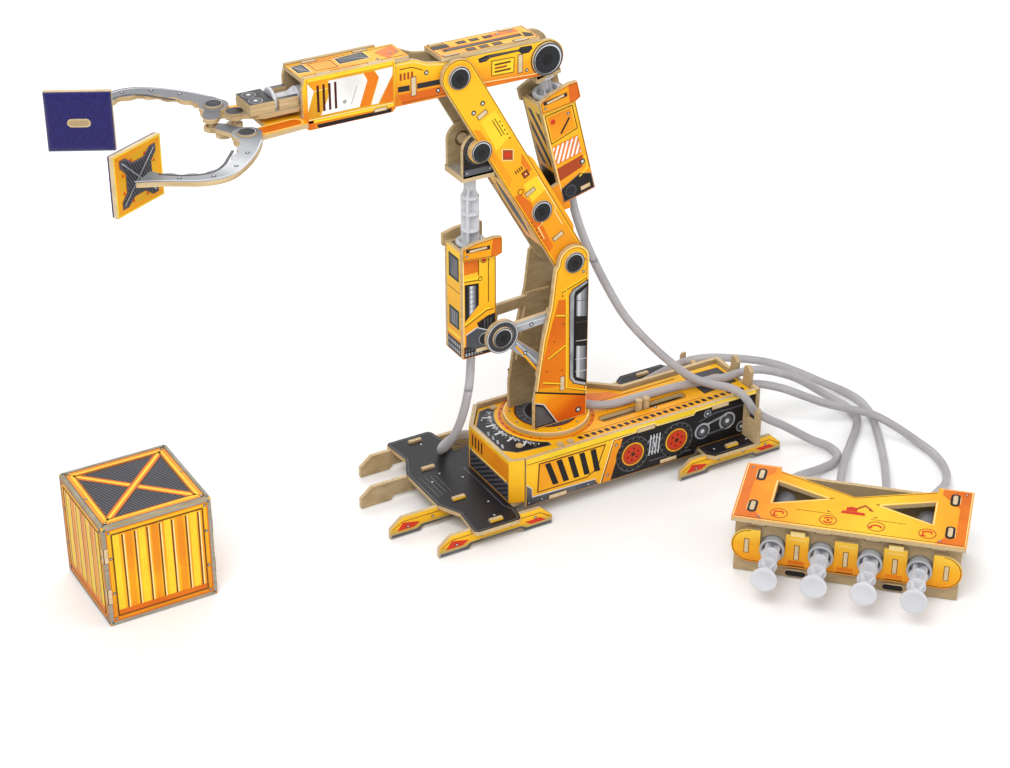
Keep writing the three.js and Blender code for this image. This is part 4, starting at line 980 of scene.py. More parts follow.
def cylinder(prefix, pivot, tilt, top, bottom, foot_at, disc_z, head_r, foot_r):
    """An arm cylinder hanging from its rod pivot; heights are along its own tilted axis."""
    ex, ez = tilted(tilt)
    origin = Vector((pivot[0], 0, pivot[1]))
    gap = Vector((foot_at[0], 0, foot_at[1])) - origin
    foot = (gap.dot(ex), gap.dot(ez))
    lift = prefix == "lift"
    upward = Plane(origin, ex, (0, 1, 0), ez)
    housing = Piece(f"{prefix}_housing_board")
    grade = graded_ink(f"ink_{prefix}_housing", origin + ez * bottom, ez, top - bottom, [
        (0.0, "#c9700e"), (0.25, "#ec9d14"), (0.6, "#f3b419"), (1.0, "#f7c42a")])
    x = HOUSING_X
    for sign in (-1, 1):
        plane = side_face(sign, HOUSING_IN + BOARD, pivot, tilt)
        housing.slab(plane, rect(-x, bottom, x, top), -BOARD, 0, grade, core, bare, bevel=0.15)
        ends = Plane(origin, (0, 1, 0), ez, ex * sign)
        inner = HOUSING_IN
        housing.slab(ends, rect(-inner, bottom, inner, top), x - BOARD, x - 0.02, grade, core, bare)
        # Collar round the mouth.
        collar = [(-x - 1, top - 3), (x - 1.5, top - 5), (x + 2.5, top - 3.5), (x + 2.5, top + 6),
            (x - 2, top + 7),
                  (-4, top + 6), (-x - 1, top + 4)]
        over = side_face(sign, HOUSING_IN + 2 * BOARD, pivot, tilt)
        housing.slab(over, collar, -BOARD - 0.2, 0, yellow, core, bare, bevel=0.15)
        housing.lines(over, inset(collar, 0.7), 0.3, brown, 1, closed=True)
        housing.decal(over, [(-x + 1, top + 1.6), (5.4, top + 0.6), (5.4, top + 3.0), (-x + 1, top + 3.8)],
            soot, 2)
        housing.tab(over, -7.4, top + 1.5, 3.4, top + 2.8)
        housing.decal(over, [(5.8, top - 4.2), (12.6, top - 3.2), (12.6, top + 5.6), (7.2, top + 6.2)],
            orange, 1)
        housing.screw(over, -9, top - 0.4, 0.8)
        # Side print.
        if lift:
            housing.decal(plane, [(-9.6, top - 4), (-0.6, top - 3), (-0.6, top - 13), (-9.6, top - 13)],
                orange, 1)
            housing.lines(plane, [(-0.4, top - 1.5), (-0.5, top - 15)], 0.5, brown, 2)
            housing.lines(plane, [(5.8, top - 2), (5.7, top - 33)], 0.5, brown, 2)
            housing.lines(plane, [(0.4, top - 1.5), (0.3, top - 15)], 0.5, lemon, 2)
            housing.decal(plane, disc(2.8, top - 6.4, 1.2, 20), scarlet, 3)
            housing.lines(plane, disc(2.8, top - 6.4, 1.7, 20), 0.3, plum, 3, closed=True)
            housing.lines(plane, [(-9.4, top - 16), (-0.4, top - 16.8), (0.8, top - 19)], 1.5, lemon, 3)
            housing.lines(plane, [(-9.4, top - 17.2), (-0.6, top - 18)], 0.4, brown, 4)
            housing.decal(plane, disc(0.5, top - 17.4, 1.3, 18), brown, 4).decal(plane,
                disc(0.5, top - 17.4, 0.8, 16), lemon, 5)
            window = [(-9.2, top - 19), (-0.4, top - 20), (-0.5, top - 33.4), (-9.2, top - 42)]
            housing.decal(plane, window, black, 2)
            housing.decal(plane, [(-6.8, top - 20.4), (-2, top - 21), (-2.1, top - 35), (-6.9, top - 39)],
                housing_tube, 3)
            for k in range(5):
                z = top - 22.6 - 3 * k
                housing.lines(plane, [(-6.6, z), (-2.2, z - 0.2)], 0.3, slate, 4)
            housing.lines(plane, [(-9.4, top - 44), (4.4, top - 37), (6.4, top - 37)], 1.1, lemon, 3)
            housing.lines(plane, [(-9.4, top - 45.2), (4.6, top - 38.2), (9, top - 38.2)], 0.5, brown, 3)
            housing.decal(plane, [(-1.7, top - 44.6), (5.2, top - 41.6), (9.8, top - 41), (9.8, top - 55),
                (0.6, top - 51)], black, 2)
            for k in range(3):
                housing.lines(plane, [(3.2 + 2 * k, top - 43.4), (3.2 + 2 * k, top - 50)], 0.6, slate, 3)
            housing.decal(plane, rect(-9.8, bottom + 0.6, 9.8, bottom + 7.4), black, 2)
            for k in range(6):
                housing.decal(plane, rect(-9.2 + 1.9 * k, bottom + 1.4, -8.1 + 1.9 * k, bottom + 3.4),
                    steel, 3)
                housing.decal(plane, rect(-9.2 + 1.9 * k, bottom + 4.2, -8.1 + 1.9 * k, bottom + 6.2),
                    slate, 3)
            housing.decal(plane, [(-8.5, top - 50.6), (-1.7, top - 47.6), (7.1, top - 51.9),
                (9.8, top - 53), (9.8, top - 61),
                                  (-2.8, top - 60), (-8.5, top - 58)], slate, 4)
            housing.lines(plane, [(-8.5, top - 50.4), (-1.7, top - 47.4), (7.1, top - 51.7)], 0.5, silver,
                5)
            housing.decal(plane, disc(3.2, top - 55.4, 3.9, 28), steel, 5).decal(plane,
                disc(3.0, top - 55.6, 3.3, 28), rubber, 6)
            housing.tab(plane, -2.4, bottom + 2.6, 6.8, bottom + 4.8)
        else:
            panel = [(-x + 1.4, top - 6.5), (x - 2.6, top - 7.5), (x - 2.6, top - 22), (-x + 1.4, top - 24)]
            housing.lines(plane, panel, 0.5, brown, 2, closed=True)
            housing.decal(plane, inset(panel, 1.0), amber, 1)
            housing.decal(plane, disc(-5.4, top - 11.6, 1.5, 20), scarlet, 3)
            housing.screw(plane, 4.6, top - 11, 0.9)
            housing.lines(plane, [(-2.4, top - 20.6), (4.8, top - 13.6)], 1.1, black, 3)
            stripes(housing, plane, (-x + 1.4, top - 37, x - 3.6, top - 26.6), 3.0, 1.5, 0.55, white, 3)
            housing.decal(plane, rect(-x + 1.2, top - 37.6, x - 3.2, top - 26), orange, 2)
            housing.decal(plane, [(-x + 1.2, top - 40), (x - 3, top - 39), (x - 5, top - 46),
                (-x + 1.2, top - 48)], rust, 2)
            housing.lines(plane, [(x - 2, top - 40), (x - 2, top - 48), (x - 8, top - 51)], 0.9, lemon, 3)
            housing.screw(plane, 6.4, top - 43, 1.7)
            foot_print = [(-x + 0.8, bottom + 1), (x - 0.8, bottom + 1), (x - 0.8, bottom + 10),
                (3, bottom + 13), (-x + 0.8, bottom + 9)]
            housing.decal(plane, foot_print, black, 2).lines(plane, foot_print, 0.4, slate, 3, closed=True)
            housing.decal(plane, disc(-4.4, bottom + 5.6, 3.6, 28), slate, 4).decal(plane,
                disc(-4.5, bottom + 5.5, 3.0, 28), rubber, 5)
            housing.tab(plane, 1.8, bottom + 2.6, 7.8, bottom + 4.8)
        housing.lines(plane, [(-x + 0.6, bottom + 8), (-x + 0.6, top - 5)], 0.45, pale, 3)
        housing.lines(plane, [(x - 0.6, bottom + 14), (x - 0.6, top - 6)], 0.35, brown, 3)
        # End face print.
        end = Plane(origin + ex * (sign * (x - 0.02)), (0, 1, 0), ez, ex * sign)
        y = HOUSING_IN
        if lift:
            for low, high in ((bottom + 16.6, bottom + 28.6), (top - 19, top - 4.2)):
                housing.decal(end, rect(-y + 1.6, low, y - 2.2, high), black, 2)
                housing.decal(end, rect(-y + 1.0, low - 0.6, y - 1.6, high + 0.6), lemon, 1)
                housing.decal(end, rect(-y + 2.6, low + 1.2, y - 3.2, high - 1.2), slate, 3)
                for k in range(3):
                    housing.lines(end, [(-y + 4.4 + 2.2 * k, low + 2), (-y + 4.4 + 2.2 * k, high - 2)], 0.5,
                        steel, 4)
            housing.decal(end, rect(-y + 0.4, bottom + 11, y - 0.4, bottom + 13.4), lemon, 1)
            housing.decal(end, rect(-y + 0.2, bottom + 0.6, y - 0.2, bottom + 9), black, 1)
            for k in range(6):
                for low in (bottom + 1.6, bottom + 5.2):
                    housing.decal(end, rect(-y + 1 + 2.4 * k, low, -y + 2.6 + 2.4 * k, low + 2.4), steel, 2)
            housing.lines(end, [(-y + 0.6, bottom + 40), (y - 0.6, bottom + 40)], 0.4, brown, 1)
        else:
            stripes(housing, end, (-y + 0.9, bottom + 22, y - 0.9, top - 6), 9.0, 4.2, 0.62, black, 1)
            housing.decal(end, rect(-y + 0.6, bottom + 1, y - 0.6, bottom + 19), black, 1)
            housing.decal(end, rect(-y + 2.2, bottom + 4, y - 2.2, bottom + 8), slate, 2)
        # Foot plate that takes the pivot peg.
        towards = math.copysign(1, foot[0])
        edge = towards * (x - 4)
        plate = [(edge, foot[1] + 10)] + arc(*foot, foot_r, 90, 90 - 180 * towards) + [(edge, foot[1] - 9)]
        foot_plane = side_face(sign, HOUSING_IN + BOARD - 0.04, pivot, tilt)
        housing.slab(foot_plane, plate, -BOARD + 0.04, 0, slate if lift else amber, core, bare,
            holes=[disc(*foot, PEG_HOLE_R, 24)])
    housing.done(f"{prefix}_cylinder", "printed_board", f"{prefix}_housing")
    shell = barrel(Piece(f"{prefix}_barrel_clear"), origin + ez * (top + 2.3), ez)
    shell.done(f"{prefix}_cylinder", "syringe_plastic", f"{prefix}_barrel")

    rod = Piece(f"{prefix}_plunger_clear")
    plunger(rod, origin + ez * disc_z, ez, 60 if lift else 57.5)
    rod.done(f"{prefix}_rod", "syringe_plastic", f"{prefix}_plunger")
    head = Piece(f"{prefix}_rod_head")
    inner = 7.3 if lift else 4.3
    wide = inner + BOARD
    head.slab(upward, rect(-head_r - 0.6, -wide, head_r + 0.6, wide), disc_z - 1, disc_z + 2.6, grey_core,
        core, core)
    for sign in (-1, 1):
        plane = side_face(sign, wide, pivot, tilt)
        lug = arc(0, 0, head_r, 0, 180, 36) + [(-head_r, disc_z + 1), (head_r, disc_z + 1)]
        head.slab(plane, lug, -BOARD, 0, black, core, bare, holes=[disc(0, 0, LOOSE_HOLE_R, 32)],
            bevel=0.15)
        for r, ink, layer in ((head_r * 0.9, slate, 1), (head_r * 0.78, soot, 2),
            (head_r * 0.68, silver, 3)):
            head.decal(plane, disc(0, 0, r, 36), ink, layer, holes=[disc(0, 0, 4.65, 32)])
        for k in range(20):
            a = math.radians(18 * k)
            tick = [(math.cos(a) * r * head_r, math.sin(a) * r * head_r) for r in (0.79, 0.89)]
            head.decal(plane, strip(tick, 0.4), black, 2)
        low = disc_z + 2.4
        head.decal(plane, rect(-head_r + 1, low, head_r - 1, low + 3.4), slate, 1)
        head.screw(plane, -head_r + 2.4, low + 1.7, 0.9).screw(plane, head_r - 2.4, low + 1.7, 0.9)
    head.done(f"{prefix}_rod", "grey_board")


cylinder("lift", LIFT_ROD, 0.0, -60, -125.6, LIFT_FOOT, -16.5, 9.4, 7)
cylinder("reach", REACH_ROD, REACH_TILT, -25.6, -88, REACH_FOOT, -12.4, 7.2, 6)


# ---------------------------------------------------------------- boom
BOOM_OUT, FOREARM_OUT = 12.6, 9.6
_dx, _dz = ELBOW[0] - BOOM_PIVOT[0], ELBOW[1] - BOOM_PIVOT[1]
BOOM_LENGTH = math.hypot(_dx, _dz)
ALONG = Vector((_dx / BOOM_LENGTH, 0, _dz / BOOM_LENGTH))
ACROSS = Vector((_dz / BOOM_LENGTH, 0, -_dx / BOOM_LENGTH))


def boom_face(side, y):
    """u runs along the boom from its lower pivot, v to its rear."""
    return Plane((BOOM_PIVOT[0], side * y, BOOM_PIVOT[1]), ALONG, ACROSS, (0, side, 0))


def in_boom(point):
    """A pivot's X and Z as distances along and across the boom."""
    gap = Vector((point[0] - BOOM_PIVOT[0], 0, point[1] - BOOM_PIVOT[1]))
    return gap.dot(ALONG), gap.dot(ACROSS)


boom_grade = graded_ink("ink_boom", (BOOM_PIVOT[0], 0, BOOM_PIVOT[1]), ALONG + ACROSS * 0.9, 150, [
    (0.0, "#e58f12"), (0.3, "#f0a716"), (0.62, "#f5ba1c"), (0.85, "#efa415"), (1.0, "#f4b81a")])
for _name, _side in (("near", -1), ("far", 1)):
    _p = boom_face(_side, BOOM_OUT)
    _b = Piece(f"boom_{_name}_board")
    _lift, _reach = in_boom(LIFT_ROD), in_boom(REACH_FOOT)
    # The bar, then its belly between the cylinder pivots.
    _outline = arc(0, 0, 10, 90, 270) + arc(BOOM_LENGTH, 0, 10, -90, 90)
    _b.slab(_p, _outline, -BOARD, 0, boom_grade, core, bare, holes=[disc(0, 0, PEG_HOLE_R, 24)], bevel=0.15)
    _b.slab(_p, bar((20, 3.5), (70, 3.5), 8.2), -BOARD + 0.03, -0.03, boom_grade, core, bare)
    _b.slab(_p, disc(*_lift, 6.9, 40), -BOARD + 0.05, -0.05, boom_grade, core, bare)
    for _end in ((BOOM_LENGTH, 0), _lift, _reach):
        _b.slab(_p, disc(*_end, PEG_R, 24), -5.2, -0.4, pale_core)
    for _end, _r in (((BOOM_LENGTH, 0), 6.5), (_lift, 6.4), (_reach, 6.4)):
        _b.cap(_p, *_end, _r)
    _edge = arc(0, 0, 8.7, 90, 270) + arc(BOOM_LENGTH, 0, 8.7, -90, 90)
    _b.lines(_p, _edge, 0.35, lemon, 2, closed=True)
    _b.lines(_p, arc(0, 0, 9.4, 90, 270) + arc(BOOM_LENGTH, 0, 9.4, -90, 90), 0.3, brown, 1, closed=True)
    # Orange side and patches.
    _b.decal(_p, [(14, -9.2), (60, -9.2), (58, -4.8), (50, -2.4), (16, -4.6)], orange, 1)
    _b.decal(_p, [(66, -9.2), (112, -9.2), (108, -5.2), (70, -4.4)], amber, 1)
    _b.decal(_p, [(49, -1.6), (62, -0.8), (61, 8.2), (50, 8.2)], lemon, 1)
    _b.decal(_p, [(91, -3.4), (112, -2.6), (112, 7.4), (93, 7.6)], lemon, 1)
    _b.decal(_p, [(74, 4.4), (79, 7.6), (66.4, 7.8), (66.4, 5)], orange, 2)
    # Generic label.
    label = [(89.3, -0.5), (84.7, 4.6), (79.2, 1.5), (83.8, -3.6)]
    _b.decal(_p, label, rust, 3)
    _b.lines(_p, label, 0.45, pale, 4, closed=True)
    _b.decal(_p, inset(label, 1.7), scarlet, 4)
    for _k in range(4):
        _b.decal(_p, rect(70.4, -1.2 + 1.4 * _k, 72.6, -0.5 + 1.4 * _k), brown, 3)
    _b.decal(_p, rect(64.6, 1.4, 68.8, 5.4), brown, 3)
    _b.decal(_p, rect(65.4, 2.2, 68, 4.6), rust, 4)
    _b.decal(_p, rect(66.2, 3.0, 67.2, 3.9), pale, 5)
    _b.screw(_p, 120.5, 3.6, 1.4).screw(_p, 119.4, -3.3, 1.4)
    _b.tab(_p, 113.9, -2.8, 116.2, 3.2).tab(_p, 54.2, -2.6, 56.4, 3.4).tab(_p, 18.1, -2.6, 20.4, 4.0)
    _b.lines(_p, disc(59.4, -4.2, 1.7, 20), 0.4, brown, 3, closed=True)
    _b.lines(_p, [(24, -6.8), (33, -6.2), (33, -3), (46, -2.4)], 0.45, pale, 3)
    _b.lines(_p, [(24, 6.4), (34, 6.4), (36, 8.4), (60, 8.4)], 0.45, pale, 3)
    _b.lines(_p, [(96, 4.8), (108, 4.8)], 0.45, brown, 3).lines(_p, [(96, 3.2), (108, 3.2)], 0.45, brown, 3)
    for _k in range(5):
        _b.decal(_p, disc(26 + 3.1 * _k, -8, 0.55, 10), brown, 3)
        _b.decal(_p, disc(92 + 3.1 * _k, 6.4, 0.5, 10), brown, 3)
    _b.done("boom", "printed_board" if _side < 0 else "bare_board", f"boom_{_name}")

web_piece = Piece("boom_web_board")
_w = Plane((BOOM_PIVOT[0], 0, BOOM_PIVOT[1]), ALONG, (0, 1, 0), -ACROSS)
web_piece.slab(_w, rect(17, -9.8, 72, 9.8), 7.1, 9.6, yellow, core, bare, bevel=0.15)
_lens = [(22, 0)] + [(22 + 46 * k / 16, 4.6 * math.sin(math.pi * k / 16)) for k in range(1, 16)] + [(68,
    0)] + [
    (68 - 46 * k / 16, -4.6 * math.sin(math.pi * k / 16)) for k in range(1, 16)]
web_piece.decal(_w, _lens, black, 1, 9.6).decal(_w, inset(_lens, 1.2), slate, 2, 9.6)
web_piece.decal(_w, inset(_lens, 2.4), soot, 3, 9.6)
web_piece.lines(_w, rect(18, -8.8, 71, 8.8), 0.4, brown, 1, closed=True, base=9.6)
web_piece.tab(_w, 26, -9.6, 34, -7.6, 9.6).tab(_w, 52, 7.6, 60, 9.6, 9.6)
web_piece.done("boom", "printed_board", "boom_web")

# ---------------------------------------------------------------- forearm
fore_grade = graded_ink("ink_forearm", (0, 0, 257), (0.05, 0, 1), 24, [
    (0.0, "#dd7c0e"), (0.22, "#ef9f15"), (0.6, "#f6bb1c"), (1.0, "#f8ca30")])
fore_outline = [(-141.6, 257.7), (-14, 256.9)] + arc(*REACH_ROD, 10.4, -75, 100) + [
    (-14, 276.4), (-70, 276.4), (-79, 277.9), (-87, 281.4), (-141.6, 281.4)]
for _name, _side in (("near", -1), ("far", 1)):
    _p = side_face(_side, FOREARM_OUT)
    _f = Piece(f"forearm_{_name}_board")
    _f.slab(_p, fore_outline, -BOARD, 0, fore_grade, core, bare, holes=[disc(*ELBOW, PEG_HOLE_R, 24)],
        bevel=0.15)
    _f.slab(_p, disc(*REACH_ROD, PEG_R, 24), -5.4, -0.4, pale_core)
    _f.cap(_p, *REACH_ROD, 9.4)
    _f.decal(_p, disc(*REACH_ROD, 9.9, 48), black, 1)
    _f.decal(_p, [(-46.6, 260.2), (-13.5, 258.4), (-13.5, 257.4), (-48, 257.9)], orange, 1)
    _f.lines(_p, [(-46.6, 260.4), (-13.5, 258.8)], 0.45, pale, 2)
    pipe = [(-49.4, 274.2), (-44.4, 275.2), (-25.2, 274.6), (-23.8, 275.7), (-17.3, 275.4), (-16.5, 273.6),
            (-18.7, 271.7), (-23, 271.6), (-25.2, 273.6), (-42.3, 273.4), (-44.5, 271.9), (-48.7, 271.8)]
    _f.decal(_p, pipe, soot, 2)
    _f.lines(_p, [(-47.8, 273), (-44.6, 273.2), (-42.6, 274.4), (-25, 274.1)], 0.4, slate, 3)
    label = [(-41.3, 271.3), (-27.7, 270.8), (-28, 262.6), (-41.3, 263)]
    _f.decal(_p, label, lemon, 2)
    _f.lines(_p, label, 0.4, brown, 3, closed=True)
    for _k, _ink in enumerate((brown, rust, brown)):
        _f.decal(_p, rect(-39.6, 264.4 + 2 * _k, -29.8 - 2.4 * (_k % 2), 265.4 + 2 * _k), _ink, 3)
    _f.tab(_p, -25.2, 261.5, -22.7, 271.4).tab(_p, -89, 261.8, -86.4, 271.8)
    _f.decal(_p, [(-96.7, 268.2), (-90, 268), (-90, 264.9), (-96.8, 265.3)], soot, 2)
    _f.decal(_p, [(-85.6, 267.9), (-71.9, 267.6), (-71.9, 264.7), (-85.6, 265)], soot, 2)
    _f.decal(_p, [(-96.8, 263.7), (-69.9, 263.3), (-69.9, 259.3), (-93.6, 257.9)], orange, 1)
    _f.lines(_p, [(-69, 275.3), (-79.3, 276.8), (-87.4, 280.2), (-99, 280.3)], 0.45, pale, 2)
    _f.screw(_p, -80.1, 272.9, 1.3).screw(_p, -73.4, 261.6, 1.3).screw(_p, -20, 262, 1.0)
    _f.lines(_p, [(-95.6, 277.6), (-88.6, 277.6), (-82, 274.6)], 0.4, brown, 3)
    for _k in range(4):
        _f.decal(_p, rect(-95.6 + 2.2 * _k, 271.4, -94.4 + 2.2 * _k, 275.2), rust, 2)
    _f.lines(_p, [(-52, 258.8), (-95, 258.9)], 0.3, brown, 2)
    _f.done("forearm", "printed_board" if _side < 0 else "bare_board", f"forearm_{_name}")

roof = Piece("forearm_top_board")
_Z = 279.2
roof.slab(TOP, rect(-71, -9.6, -12, 9.6), 276.7, _Z, yellow, core, bare, bevel=0.15)
roof.lines(TOP, rect(-70, -8.7, -13, 8.7), 0.4, brown, 1, closed=True, base=_Z)
roof.lines(TOP, rect(-69.2, -7.9, -13.8, 7.9), 0.35, pale, 1, closed=True, base=_Z)
roof.decal(TOP, rect(-66, -3.4, -19, -0.6), soot, 2, _Z).decal(TOP, rect(-64, -2.6, -21, -1.4), slate, 3,
    _Z)
roof.decal(TOP, rect(-66, -0.2, -19, 0.6), orange, 2, _Z).decal(TOP, rect(-70, 1.2, -60, 6), black, 2, _Z)
roof.decal(TOP, [(-16.9, 1), (-13.6, -2.5), (-14, -6.6), (-18.7, -5.3)], black, 3, _Z)
for _x in (-52, -44.3, -36.2):
    for _y in (4.2, -6.5):
        roof.decal(TOP, rect(_x - 2.2, _y - 1.2, _x + 2.2, _y + 1.2), black, 2, _Z)
        roof.decal(TOP, rect(_x - 1.6, _y - 0.7, _x + 1.6, _y + 0.7), slate, 3, _Z)
        roof.lines(TOP, rect(_x - 2.6, _y - 1.6, _x + 2.6, _y + 1.6), 0.3, brown, 2, closed=True, base=_Z)
roof.decal(TOP, rect(-27.4, -8.2, -19.8, -6.6), black, 3, _Z)
for _x in (-65, -23):
    roof.tab(TOP, _x - 4, 7.2, _x + 4, 9.4, _Z).tab(TOP, _x - 4, -9.4, _x + 4, -7.4, _Z)
roof.decal(TOP, rect(-34, 2.8, -18, 6.4), orange, 2, _Z).screw(TOP, -30, 4.6, 0.9, 3, _Z).screw(TOP, -22,
    4.6, 0.9, 3, _Z)
roof.done("forearm", "printed_board", "forearm_top")

hood = Piece("hood_board")
hood_outline = [(-149, 256.4), (-101.5, 256.4), (-99.5, 258.4), (-99.5, 284.8), (-150.5, 284.8),
    (-152, 279), (-152, 259.4)]
_Z = 284.2
hood.slab(TOP, rect(-151, -9.9, -100.5, 9.9), 281.7, _Z, yellow, core, bare)
hood.slab(TOP, rect(-100.5, -9.6, -90, 9.6), 281.7, _Z, yellow, core, bare)
for _side in (-1, 1):
    _p = side_face(_side, 12.4)
    hood.slab(_p, hood_outline, -BOARD, 0, fore_grade, core, bare, bevel=0.15)
    hood.decal(_p, [(-149.6, 284), (-100.2, 284), (-100.2, 259.4), (-149.2, 260.1)], ochre, 1)
    hood.decal(_p, [(-148.4, 282.4), (-138.4, 282.2), (-138.4, 277.4), (-145, 277)], amber, 2)
    hood.lines(_p, [(-145.2, 277.1), (-138.2, 277.3)], 0.4, pale, 3)
    hood.decal(_p, [(-149.1, 281.8), (-145.6, 277.2), (-149.2, 266.8)], white, 2)
    hood.decal(_p, [(-137.3, 281.2), (-117.6, 281.1), (-115.5, 277), (-120.4, 263.4), (-142.2, 263.4),
        (-137.7, 272.2)], white, 2)
    hood.decal(_p, [(-117.2, 281.3), (-111.8, 281.1), (-109.1, 277.8), (-114.4, 263), (-120.2, 263.2),
        (-115.2, 277.2)], orange, 2)
    hood.decal(_p, [(-111.2, 281.3), (-101, 281.4), (-101.2, 277.2), (-109.6, 263), (-113.7, 263.2),
        (-108.8, 277.1)], white, 2)
    hood.decal(_p, [(-101, 276.4), (-101, 262.4), (-109, 262.8)], orange, 2)
    for _x in (-143.4, -140.15, -136.9, -133.6):
        hood.decal(_p, rect(_x - 0.65, 265.4, _x + 0.65, 279.9), plum, 3)
    hood.lines(_p, [(-149, 262), (-101, 261.6)], 0.5, pale, 2)
    hood.decal(_p, [(-149.2, 261.4), (-101, 261), (-101, 259.8), (-149.2, 260.2)], lemon, 2)
    hood.decal(_p, [(-149, 284), (-101, 284), (-101, 282.6), (-149, 282.6)], lemon, 2)
    hood.decal(_p, [(-144.6, 258.8), (-102, 258.8), (-102.4, 256.8), (-143.8, 256.8)], black, 2)
    hood.decal(_p, [(-151.4, 262), (-146.6, 261.6), (-145.6, 257), (-148.4, 257), (-151.4, 260)], orange, 2)
    hood.tab(_p, -112, 258.6, -105, 260.2)
    hood.lines(_p, [(-125, 266), (-121.6, 275)], 0.4, steel, 3).screw(_p, -128.6, 268, 0.9)
    for _x in (-138, -109):
        hood.tab(TOP, _x - 4, _side * 8.75 - 0.9, _x + 4, _side * 8.75 + 0.9, _Z)
for _quad in ([(-149.8, 6.4), (-142.6, 6.8), (-142.6, -4.3), (-149.8, -3.2)],
              [(-125.5, 5.6), (-108.5, 6.8), (-108.6, -2.4), (-126.1, -2.7)]):
    hood.decal(TOP, _quad, black, 2, _Z).lines(TOP, _quad, 0.4, pale, 3, closed=True, base=_Z)
    hood.decal(TOP, inset(_quad, 1.4), slate, 3, _Z).lines(TOP, [_quad[0], _quad[2]], 0.4, steel, 4,
        base=_Z)
hood.decal(TOP, [(-103.6, 2.8), (-91.2, 7.6), (-91.2, -1.3), (-100.6, -7.2)], orange, 2, _Z)
hood.lines(TOP, [(-149.8, 7.4), (-91, 7.4)], 0.35, brown, 2, base=_Z).lines(TOP,
    [(-149.8, -7.4), (-91, -7.4)], 0.35, brown, 2, base=_Z)
hood.lines(TOP, [(-140, 6), (-128, 5), (-128, -5), (-140, -4)], 0.35, brown, 2, closed=True, base=_Z)
for _x in (-106, -97, -93):
    hood.screw(TOP, _x, -5.6 + (4 if _x > -100 else 0), 0.9, 3, _Z)
hood.done("forearm", "printed_board", "hood")

# ---------------------------------------------------------------- gripper
CLAW_PIVOT, LEVER_END, TONGUE_PIN = (-186.6, -20.5), (-193.6, -7.6), (-184.0, 0.0)
CLAW_Z = 264.0


def mirrored(points):
    """The outline on the other side of the arm's plane."""
    return [(u, -v) for u, v in points]


deck = Piece("grip_deck_board")
deck_outline = [(-101, -6.8), (-101, 6.8), (-152.4, 6.8), (-152.4, 19), (-178, 21.5)] + arc(
    CLAW_PIVOT[0], 20.5, 7, 60, 250) + [(-172, 11), (-172, -11)] + arc(*CLAW_PIVOT, 7, 110, 300) + [
    (-178, -21.5), (-152.4, -19), (-152.4, -6.8)]
_Z = CLAW_Z - 0.3
deck.slab(TOP, deck_outline, _Z - BOARD, _Z, yellow, core, bare, holes=[rect(-148, -5.8, -141.8, 5.8)])
for _side in (-1, 1):
    deck.decal(TOP, bar((-175, _side * 15.5), (-158, _side * 14.4), 3.4), orange, 1, _Z)
    deck.lines(TOP, bar((-175, _side * 15.5), (-158, _side * 14.4), 4.4), 0.4, pale, 2, closed=True,
        base=_Z)
    deck.slab(TOP, disc(CLAW_PIVOT[0], _side * 20.5, 2.2, 24), _Z - 4.6, _Z - BOARD, black)
deck.done("forearm", "printed_board", "grip_deck")

slider = Piece("grip_slider_board")
TONGUE_Z = CLAW_Z + BOARD + 0.3
tongue = [(-152.5, -9.5), (-152.5, 9.5), (-172, 9.5), (-181, 4.6)] + arc(*TONGUE_PIN, 5, 60,
    300) + [(-181, -4.6), (-172, -9.5)]
slider.slab(TOP, tongue, TONGUE_Z, TONGUE_Z + BOARD, grey_core, core, bare)
slider.slab(TOP, disc(*TONGUE_PIN, 4.4, 32), TONGUE_Z + BOARD - 0.2, TONGUE_Z + BOARD + 1, black, core)
slider.slab(TOP, disc(*TONGUE_PIN, 1.5, 20), 258.8, TONGUE_Z + 1, pale_core)
_base = TONGUE_Z + BOARD - 0.2
for _k in range(3):
    _z0 = _base + _k * 2.05
    _grow = 0.12 * (_k % 2)
    slider.slab(TOP, rect(-179 - _grow, -8.8 - _grow, -165.5, 8.8 + _grow), _z0, _z0 + 1.95,
        black if _k == 2 else core, core, core)
    for _s in (-1, 1):
        slider.slab(TOP, rect(-163, _s * 7.4 - 1.4, -152.5, _s * 7.4 + 1.4), _z0, _z0 + 1.95,
            slate if _k == 2 else core, core, core)
_Z = _base + 2 * 2.05 + 1.95
for _y in (-4.3, 4.3):
    slider.lines(TOP, disc(-174, _y, 3.4, 28), 0.5, steel, 1, closed=True, base=_Z)
    slider.decal(TOP, disc(-174, _y, 2.2, 24), slate, 1, _Z).decal(TOP, disc(-174, _y, 1.0, 16), silver, 2,
        _Z)
for _k in range(4):
    slider.lines(TOP, [(-168.6 + 0.7 * _k, -7.6), (-168.6 + 0.7 * _k, 7.6)], 0.3, slate, 1, base=_Z)
slider.done("grip_carriage", "bare_board", "grip_slider")


def spline(points):
    """A smooth curve in the plane through the points."""
    line = centripetal([(u, v, 0) for u, v in points], 1.6)
    return [(p.x, p.y) for p in line]


CLAW_OUTER = [(-180, -24), (-184, -33), (-193, -45.5), (-203, -55.5), (-212, -61.8), (-220, -63.4),
    (-229, -61.4),
              (-238, -56.2), (-247, -51.4), (-256, -47.6)]
CLAW_INNER = [(-194.5, -26.5), (-198, -34), (-203.5, -41), (-210.5, -48), (-218.5, -51.8), (-226, -51.4),
              (-234, -47.6), (-241, -41.9), (-245.5, -38.6)]


